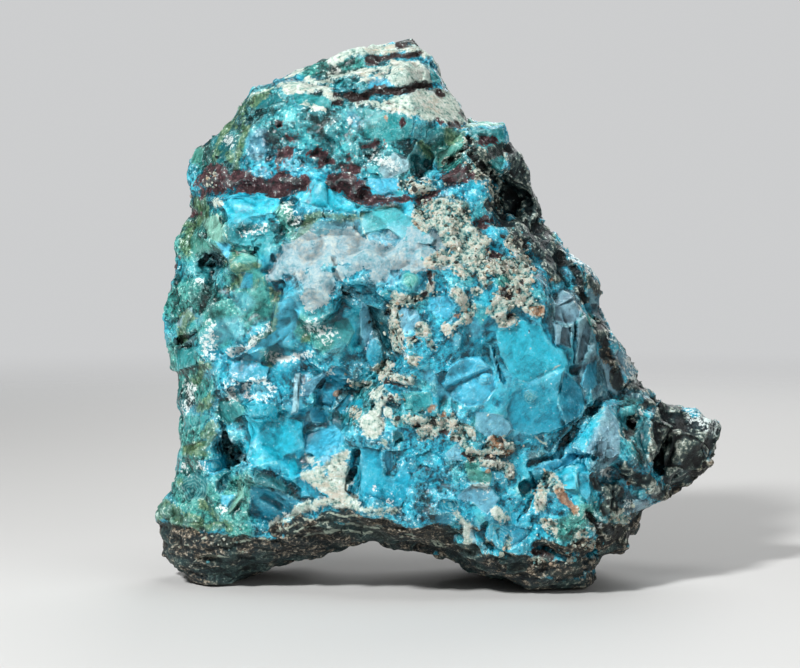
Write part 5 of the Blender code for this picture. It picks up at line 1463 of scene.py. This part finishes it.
# %% The patterns of the finish
BEDDED = (1.0, 1.0, 3.2)  # squeezed upwards, which flattens clouds to level beds
STREAKED = (0.22, 1.0, 1.0)  # stretched across, which draws clouds out to streaks
STREAK_LEAN = math.radians(38)


class Patterns:
    """What the recipes are mixed from: clouds and patches about 0, and what the survey found."""

    def __init__(self, paint):
        self.paint = paint
        self.place = paint.place()
        swirled = paint.bent(self.place, 5.0, 7.0)
        self.broad = paint.clouds(self.place, 8.0, 2.0, 0.6)
        self.mid = paint.clouds(swirled, 2.6, 7.0, 0.7)
        self.fine = paint.clouds(self.place, 0.65, 4.0, 0.75)
        self.hairs = paint.clouds(swirled, 1.1, 3.0, 0.5)
        self.beds = paint.clouds(paint.place(BEDDED), 2.4, 6.0, 0.72, 0.4)
        self.streaks = paint.clouds(paint.place(STREAKED, STREAK_LEAN), 0.8, 4.0, 0.65, 0.4)
        self.patch = paint.cells(swirled, 3.6) - 0.5
        self.scrap = paint.cells(swirled, 1.3) - 0.5
        self.speck = paint.cells(self.place, 0.45) - 0.5
        self.ragged = self.mid * 0.9 + self.fine * 0.35
        for name in ("calm", "glitter", "fold", "ridge", "hollow", "plate"):
            setattr(self, name, paint.attribute(name))
        self.on_plate = (self.plate + self.ragged * 0.2).eased(-0.1, 0.1)
        self.dome = self.mask("dome", 0.1, 1.1)
        self.rock = self.mask("matrix", 0.2)

    def leaning(self, name, start=0.0, end=1.0, **clouds):
        """How far the stone leans one way, made uneven by shares of some clouds."""
        value = self.paint.attribute(name)
        for cloud, share in clouds.items():
            value = value + getattr(self, cloud) * share
        return value.eased(start, end)

    def mask(self, name, edge=0.08, raggedness=1.0):
        """Where a mineral is: its depth, made ragged, and cut at zero with a soft edge."""
        depth = self.paint.attribute(name) + self.ragged * raggedness
        return depth.eased(-edge, edge)

# %% [markdown]
# ## The blue mass
#
# The copper silicate runs from dark teal through pure blue to a milky tint. Patches of fixed colours
# would show borders, which the real one doesn't have. So one number, the tone, is added up from all
# that makes the stone paler or darker, and all three ramps read it. Green and grey are then mixed in
# where the survey leans that way.

# %% The blue mass
def blue_mass(look):
    """The colour of the copper silicate, before plates and veins."""
    paint = look.paint
    teal = paint.attribute("teal")
    lively = 1 - look.calm * 0.7
    # Painted light in the tone: the deep leaning is partly painted shade, glitter zones are lightened with
    # their painted glare, ridges are lightened partly as painted edge highlights, and folds are darkened as
    # painted shade.
    tone = 0.48 - teal * 0.1 + paint.attribute("bright") * 0.22
    tone = tone - paint.attribute("deep") * 0.3 + paint.attribute("milky") * 0.06
    tone = tone + look.glitter * 0.1 + look.broad * 0.06 + look.mid * 0.28
    tone = tone + look.patch * 0.27 + look.scrap * lively * 0.3
    tone = tone + (look.fine * 0.42 + look.speck * 0.08) * lively
    tone = tone + look.streaks * (0.05 + look.calm * 0.13) + look.ridge * 0.1 - look.fold * 0.14
    greener = look.leaning("green", 0.1, 0.8, mid=0.3) * 0.85
    greener = greener.largest((look.broad + look.patch).eased(0.1, 0.9) * 0.4)
    greener = greener.largest((teal + look.mid * 0.2).eased(0.0, 1.0) * 0.5)
    green = paint.ramp(tone + look.fine * 0.06, *GREENS)
    colour = paint.mixed(greener, paint.ramp(tone, *BLUES), green)
    return paint.mixed(look.leaning("grey", 0.2, 0.7, mid=0.2), colour, paint.ramp(tone, *GREYS))

# %% [markdown]
# ## Plates, seams and hairs
#
# On a plate its own tint takes over, a little clouded, with a pale worn rim. Through everything run
# thin lines: green wisps, dark healed seams, pale hairs, and the rings of the round spots. Each could
# be a texture of its own, but a cloud draws them as well: where it crosses zero is one thin curve.

# %% Plates, seams and hairs
GLASSY = 0.15  # the roughness of the blue mass


class Coat:
    """The colour and the roughness so far, on which more is laid."""

    def __init__(self, look, colour, roughness):
        self.look = look
        self.colour = colour
        self.roughness = roughness

    def tint(self, share, top):
        self.colour = self.look.paint.mixed(share, self.colour, top)

    def lay(self, share, top, roughness):
        self.tint(share, top)
        self.roughness = self.roughness + share * (roughness - self.roughness)


def plate_colour(look):
    """The plate's own tint, clouded from dark to pale."""
    paint = look.paint
    tint = paint.attribute("tint", "Color")
    grain = 0.6 + look.mid * 0.2 + look.fine * 0.16 + look.streaks * 0.12
    # The fold term is painted shade: the plate's tint is darkened in its folds.
    grain = grain + look.patch * 0.22 - look.fold * 0.1
    dark, pale = (paint.scaled(tint, share) for share in (0.2, 1.35))
    shaded = paint.mixed(grain.eased(-0.1, 1.1), dark, pale)
    return paint.mixed((grain - 0.82).eased(0.0, 0.4) * 0.4, shaded, (0.5, 0.8, 0.84))


def lines(look, coat):
    """Wisps, seams, hairs and rings."""
    mid, patch, scrap, streaks = look.mid, look.patch, look.scrap, look.streaks
    wisps = (mid - 0.1 + scrap * 0.2).line(0.0, 0.09)
    wisps = wisps.largest((streaks + mid * 0.3).line(0.0, 0.1) * 0.7)
    coat.tint(wisps * (1 - look.on_plate * 0.6) * 0.26, (0.16, 0.6, 0.58))
    seams = (mid + 0.42 + patch * 0.3).line(0.0, 0.07) * look.broad.eased(-0.3, 0.3)
    coat.tint(seams * 0.6, (0.004, 0.05, 0.06))
    where = (look.broad + patch + streaks * 0.5 + mid * 0.4).eased(0.0, 0.5)
    hairs = look.hairs.line(0.0, 0.08) * where
    coat.tint(hairs * (1 - look.calm * 0.5) * 0.5, (0.36, 0.74, 0.74))
    spots = look.paint.attribute("agate") + mid * 0.12
    rings = (spots * 12.0).waves().eased(0.0, 0.9) * spots.eased(-0.1, 0.2)
    coat.tint(rings * 0.28, (0.34, 0.68, 0.64))


def glassy_coat(look):
    """The blue mass with its plates, its milk and its lines."""
    coat = Coat(look, blue_mass(look), GLASSY)
    coat.tint(look.on_plate * 0.82, plate_colour(look))
    rims = (look.plate - 0.02).line(0.02, 0.14) * (look.mid + look.scrap).eased(0.0, 0.4)
    coat.tint(rims * 0.4, (0.32, 0.72, 0.74))
    milk = look.leaning("milky", 0.2, 0.9, mid=0.25) * (1 - look.on_plate)
    coat.tint(milk * 0.5, (0.12, 0.48, 0.66))
    coat.roughness = GLASSY + milk * 0.1 + look.broad * 0.03
    lines(look, coat)
    return coat

# %% [markdown]
# ## The other minerals
#
# These are laid over the blue one at a time. Each has a depth in millimetres at every point. Cut at
# zero, that would give an edge as smooth as the stroke, so clouds are added before the cut, and the
# edge comes out ragged. Each has its own gloss too: the dome is waxy, chalk and the vein are dull.

# %% The other minerals
def pale_minerals(look, coat):
    """Olive films, the milky veil, the pale dome, chalk and cream crust."""
    ramp, mask = look.paint.ramp, look.mask
    mid, fine, patch, beds = look.mid, look.fine, look.patch, look.beds
    coat.lay(mask("olive", 0.35) * 0.8, ramp(0.42 + mid * 0.35 + fine * 0.45, *OLIVES), 0.35)
    veil = look.leaning("veil", 0.1, 1.0, mid=0.5, streaks=0.15)
    coat.lay(veil * 0.32, (0.27, 0.5, 0.58), 0.4)
    waxy = 0.5 + look.broad * 0.12 + mid * 0.28 + fine * 0.34 + look.scrap * 0.14
    coat.lay(look.dome * 0.92, ramp(waxy, *DOMES), 0.45)
    chalk = mask("chalk", 0.25, 1.3)
    chalky = 0.5 + mid * 0.28 + beds * 0.22 + fine * 0.44 + patch * 0.12
    coat.lay(chalk, ramp(chalky, *CHALKS), 0.7)
    coat.lay(chalk * (beds + patch - 0.2).eased(0.0, 0.5) * 0.6, (0.52, 0.42, 0.3), 0.7)
    # Ridges are lightened partly as painted edge highlights, and folds darkened as painted shade.
    crumbly = 0.5 + mid * 0.2 + fine * 0.36 + look.speck * 0.25
    crumbly = crumbly + look.scrap * 0.35 + look.ridge * 0.1 - look.fold * 0.28
    coat.lay(mask("crust", 0.2, 1.2) * 0.95, ramp(crumbly, *CRUMBS), 0.6)


def dark_minerals(look, coat):
    """Bands, the vein, rust, host rock, black crust and pale threads."""
    ramp, mask = look.paint.ramp, look.mask
    mid, fine, speck = look.mid, look.fine, look.speck
    coat.lay(mask("band", 0.1, 0.9), ramp(0.54 + fine * 0.5 + speck * 0.15, *BANDS), 0.55)
    veined = 0.48 + mid * 0.22 + fine * 0.66 + speck * 0.3
    coat.lay(mask("vein", 0.06, 1.6), ramp(veined, *VEINS), 0.9)
    coat.lay(mask("rust", 0.15, 0.8) * 0.9, ramp(0.5 + fine * 0.4, *RUSTS), 0.65)
    # The ridge term lightens the rock's edges, partly as worn edges and partly as painted edge highlights.
    flecks = 0.41 + look.beds * 0.46 + fine * 0.62 + speck * 0.24 + look.ridge * 0.18
    slaty = (look.broad + look.patch * 0.8).eased(-0.1, 0.5)
    rock = look.paint.mixed(slaty, ramp(flecks, *ROCKS), ramp(flecks, *SLATES))
    coat.lay(look.rock * 0.96, rock, 0.6)
    # The black crust's pale end is painted highlight, reached on ridges and in fine noise.
    black_tone_and_edge_glare = 0.36 + mid * 0.2 + fine * 0.56 + look.ridge * 0.5
    coat.lay(mask("black", 0.2) * 0.95, ramp(black_tone_and_edge_glare, *BLACKS), 0.32)
    coat.lay(mask("thread", 0.06, 0.22) * 0.8, (0.55, 0.64, 0.52), 0.5)

# %% [markdown]
# ## Frost, painted glints and painted shade
#
# Last come the things that lie on top of every colour: a frost of tiny crystals that is partly
# painted glare, ridges painted paler as worn edges and as painted edge highlights, painted glints,
# painted shade in specks as small as sand, and painted shade in the folds and hollows. The glints are
# painted highlights, because reflections alone would give them only where a lamp happens to stand.

# %% Frost, painted glints and painted shade
def frost_and_painted_light(look, coat):
    """Frost with painted glare, paler ridges, painted glints and shade on bare stone, and painted shade in
    folds.
    """
    mid, fine, speck, glitter = look.mid, look.fine, look.speck, look.glitter
    # Frost is partly a real pale coat of tiny crystals and partly painted glare from their facets.
    frost_and_painted_glare = (glitter * 0.7 + fine * 0.7 + mid * 0.4 + speck * 0.4 - 0.58).eased(0.0, 0.14)
    coat.lay(frost_and_painted_glare * 0.95, (0.82, 0.9, 0.88), 0.25)
    # Ridges painted paler: partly worn edges and partly painted edge highlights.
    coat.tint(look.ridge * (1 - look.rock) * 0.12, (0.42, 0.74, 0.72))
    bare = (1 - look.dome * 0.8) * (1 - look.rock * 0.9)
    bare = bare * (1 - look.calm * 0.8) * (1 - look.on_plate * 0.5)
    # Painted glints: white specks that stand in for highlights on tiny facets.
    painted_glints = (speck * 0.4 + fine * 1.1 + look.ridge * 0.3 + glitter * 0.2 - 0.62).eased(0.0, 0.12)
    coat.tint(painted_glints * bare * 0.75, (0.7, 0.88, 0.84))
    # Painted shade: dark specks that stand in for the shade in tiny gaps between facets.
    painted_speck_shade = (-0.36 - speck - fine * 0.5).eased(0.0, 0.12) * bare
    coat.tint(painted_speck_shade * 0.6, (0.004, 0.03, 0.03))
    # Painted shade: the colour is darkened in small folds and wide hollows, where light reaches less.
    shade = (1 - look.fold * 0.45) * (1 - look.hollow.eased(0.2, 1.0) * 0.35)
    coat.colour = look.paint.scaled(coat.colour, shade)


def fine_relief(look):
    """The relief that is too fine for the mesh: facets on glass, grains on crust and rock."""
    paint = look.paint
    grainy = paint.attribute("crust").eased(-0.5, 0.3)
    grainy = grainy.largest(paint.attribute("black").eased(-0.5, 0.5) * 0.6)
    rocky = paint.attribute("matrix").eased(-0.5, 0.5)
    glassy = (1 - grainy) * (1 - rocky * 0.6) * (1 - look.calm * 0.5)
    glassy = glassy * (1 - paint.attribute("flat") * 0.8)
    height = paint.shards(look.place, 1.8) * glassy * 0.4
    small = 0.12 * glassy + look.glitter * 0.3 + grainy * 0.35
    height = height + paint.shards(look.place, 0.7) * small
    return height + look.fine * (0.035 + grainy * 0.08 + rocky * 0.14 + look.dome * 0.07)


def stone_finish():
    paint = Paint("chrysocolla rock")
    look = Patterns(paint)
    coat = glassy_coat(look)
    pale_minerals(look, coat)
    dark_minerals(look, coat)
    frost_and_painted_light(look, coat)
    return paint.finish(coat.colour, coat.roughness, fine_relief(look), IOR=1.46)


stone.data.materials.append(stone_finish())
print("nodes in the finish:", len(stone.data.materials[0].node_tree.nodes))

# %% [markdown]
# ## Loose-looking crumbs on the crust
#
# The cream crust is a crowd of separate grains, cream, tan and black, that stand on the blue. Grains
# modelled one by one would take for ever, and lumps in the skin run into each other. So one small
# ball of twenty faces is copied by doubling, twelve times over, each time shifted by a longer row.
# Every copy is then squashed, turned and set down on its own point of the crust.

# %% Crumbs
DOUBLINGS = 12
ROW_STEP = 10.0  # millimetres between copies while they wait in a row
LOWEST_CRUMB = 1.2  # above the sole, which stays clear of them
SMALLEST_CRUMB, CRUMB_RANGE = 0.17, 0.3  # radii, of which the large ones are rare
GRAINS = (
    (0.0, (0.01, 0.012, 0.01)), (0.15, (0.02, 0.025, 0.02)), (0.22, (0.1, 0.12, 0.09)),
    (0.34, (0.45, 0.52, 0.43)), (0.64, (0.66, 0.68, 0.58)), (0.72, (0.56, 0.46, 0.34)),
    (0.76, (0.34, 0.22, 0.14)), (0.82, (0.16, 0.42, 0.42)), (0.9, (0.05, 0.32, 0.38)),
    (1.0, (0.82, 0.82, 0.74)),
)
STAND_OFF = 0.12  # how far a crumb's middle stands off the surface, as a share of its radius


def ball_row():
    """A row of small balls, doubled again and again."""
    row = bmesh.new()
    bmesh.ops.create_icosphere(row, subdivisions=1, radius=MM)
    for doubling in range(DOUBLINGS):
        copies = bmesh.ops.duplicate(row, geom=row.verts[:] + row.edges[:] + row.faces[:])["geom"]
        moved = [part for part in copies if isinstance(part, bmesh.types.BMVert)]
        bmesh.ops.translate(row, verts=moved, vec=(2 ** doubling * ROW_STEP * MM, 0, 0))
    mesh = bpy.data.meshes.new("crust_crumbs")
    row.to_mesh(mesh)
    row.free()
    return mesh


def crust_places(mesh, count, chance):
    """Random points of the surface, where its crust is, with the way each looks."""
    corners = read(mesh.polygons, "vertices", 3, np.int64)
    points = points_of(mesh)[corners]
    ways = normals_of(mesh)[corners]
    depth = read(mesh.attributes["crust"].data, "value", 1, np.float32)[:, 0]
    depth = depth[corners].mean(axis=1)
    sides = np.cross(points[:, 1] - points[:, 0], points[:, 2] - points[:, 0])
    area = np.linalg.norm(sides, axis=1)
    weight = area * (ease(depth, -0.9, 0.3) + 0.02 * (depth > -FAR + 0.5))
    weight = weight * (points[:, :, 2].min(axis=1) > LOWEST_CRUMB)
    chosen = chance.choice(len(corners), count, p=weight / weight.sum())
    shares = chance.dirichlet((1, 1, 1), count)[:, :, None]
    way = (ways[chosen] * shares).sum(axis=1)
    return (points[chosen] * shares).sum(axis=1), way / np.linalg.norm(way, axis=1)[:, None]


def turned(chance, count):
    """A random rotation matrix for each grain."""
    first, second = chance.normal(size=(2, count, 3))
    first /= np.linalg.norm(first, axis=1)[:, None]
    second = np.cross(first, second)
    second /= np.linalg.norm(second, axis=1)[:, None]
    return np.stack((first, second, np.cross(first, second)), axis=2)


def crust_crumbs(host):
    """Grains of every shape and way of lying, as one mesh."""
    mesh = ball_row()
    count = 2 ** DOUBLINGS
    chance = np.random.default_rng(37)
    points = points_of(mesh)
    grain = np.round(points[:, 0] / ROW_STEP).astype(int)
    points[:, 0] -= grain * ROW_STEP
    spots, ways = crust_places(host.data, count, chance)
    radius = SMALLEST_CRUMB + CRUMB_RANGE * chance.random(count) ** 2.5
    squash = radius[:, None] * (0.4 + chance.random((count, 3)))
    dents = 1 + 0.4 * smooth_noise(points + 7.0 * grain[:, None], 0.9, 91)
    shaped = points * squash[grain] * dents[:, None]
    shaped = (turned(chance, count)[grain] @ shaped[:, :, None])[:, :, 0]
    place_points(mesh, shaped + (spots + ways * STAND_OFF * radius[:, None])[grain])
    write_attribute(mesh, "grain", chance.random(count)[grain])
    return placed("crust_crumbs", mesh)


def crumb_finish():
    """Each grain's own number picks its colour."""
    paint = Paint("crust crumbs")
    fine = paint.clouds(paint.place(), 0.3, 3.0, 0.7)
    colour = paint.ramp(paint.attribute("grain") * 0.92 + 0.02 + fine * 0.04, *GRAINS)
    return paint.finish(paint.scaled(colour, 0.9 + fine * 0.35), 0.6 + fine * 0.05, fine * 0.05)


crumbs = crust_crumbs(stone)
crumbs.data.materials.append(crumb_finish())
print("crumb triangles:", len(crumbs.data.polygons))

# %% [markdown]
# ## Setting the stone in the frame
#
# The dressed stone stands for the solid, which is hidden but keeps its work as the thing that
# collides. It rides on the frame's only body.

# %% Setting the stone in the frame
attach(stone, BODY)
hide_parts(NODE)
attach(crumbs, BODY)
print("stone set on", BODY)

# %% [markdown]
# ## The table
#
# A plain pale table and soft lights, so that the stone is what is looked at. A table with an edge
# would show it in some views, so this one is a disc that fades out to nothing before its rim.

# %% The table
FLOOR_RADIUS = 1600.0
FADE_STARTS = 170.0
FADE_ENDS = 560.0


def round_floor():
    disc = bmesh.new()
    bmesh.ops.create_circle(disc, cap_ends=True, segments=96, radius=FLOOR_RADIUS * MM)
    mesh = bpy.data.meshes.new("floor")
    disc.to_mesh(mesh)
    disc.free()
    paint = Paint("pale floor")
    distance = paint.node("ShaderNodeVectorMath", {"operation": "LENGTH"}, {0: paint.place()},
                          "Value")
    fade = 1 - distance.eased(FADE_STARTS, FADE_ENDS)
    mesh.materials.append(paint.finish((0.62, 0.62, 0.61, 1.0), 0.7, Alpha=fade))
    return placed("floor", mesh)


floor = round_floor()
floor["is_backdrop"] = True
print("table, mm across:", 2 * FLOOR_RADIUS)

# %% [markdown]
# ## Light
#
# The key light stands high on the left and in front, and is small, so that it draws the ridges. A
# broad weak one fills in from the right, one from above touches the ledges, and one behind lights the
# back for anyone who walks round. The pale room lights the stone less than it shows, or all of it
# would look flat.

# %% Light
def stand(obj, place, way):
    """Put a lamp or an eye at a place, in millimetres, with its back to the way given."""
    obj.location = place * MM
    obj.rotation_mode = "QUATERNION"
    obj.rotation_quaternion = Vector(way).to_track_quat("Z", "Y")


def softbox(name, side, power, width):
    """A square lamp at side, in millimetres from the stone's middle, that faces the stone."""
    light = bpy.data.lights.new(name, "AREA")
    light.energy = power
    light.size = width * MM
    stand(placed(name, light), Vector(middle) + Vector(side), side)


def surroundings(light, seen):
    """An even pale room: how strongly it lights the stone, and how bright it looks behind it."""
    world = bpy.data.worlds.new("studio")
    world.use_nodes = True
    nodes = world.node_tree.nodes
    background = nodes["Background"]
    looking = nodes.new("ShaderNodeLightPath")
    strength = nodes.new("ShaderNodeMapRange")
    strength.inputs["To Min"].default_value = light
    strength.inputs["To Max"].default_value = seen
    world.node_tree.links.new(looking.outputs["Is Camera Ray"], strength.inputs["Value"])
    world.node_tree.links.new(strength.outputs["Result"], background.inputs["Strength"])
    background.inputs["Color"].default_value = (0.98, 0.99, 1.0, 1.0)
    bpy.context.scene.world = world


softbox("key", (-260, -330, 330), 3.4, 60)
softbox("fill", (330, -300, 120), 0.35, 240)
softbox("top", (60, -60, 420), 0.4, 200)
softbox("back", (120, 380, 240), 1.0, 350)
surroundings(light=0.12, seen=0.62)
bpy.context.scene.view_settings.view_transform = "Standard"
print("lamps:", len(bpy.data.lights))

# %% [markdown]
# ## Camera
#
# The camera stands where the eye of the layout sheet is, so that the sheet and the picture agree. It
# aims a little beside the stone's middle.

# %% Camera
def set_camera():
    lens = bpy.data.cameras.new("eye")
    lens.lens = LENS
    lens.sensor_width = SENSOR
    lens.clip_start = 1 * MM
    eye = placed("eye", lens)
    stand(eye, Vector(aim + EYE_DISTANCE * to_eye), to_eye)
    bpy.context.scene.camera = eye


set_camera()
print("camera, mm from the stone's middle:", EYE_DISTANCE)

# %% [markdown]
# ## Size note and finish
#
# The boxes of the solid and of the dressed stone are printed side by side. The dressed
# stone has to keep the solid's size.

# %% The size of the dressed stone
visual_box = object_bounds()
for name, box in (("solid", cad_box), ("dressed", visual_box)):
    print(name, "box:", [np.round(np.array(corner) / MM, 1) for corner in box])
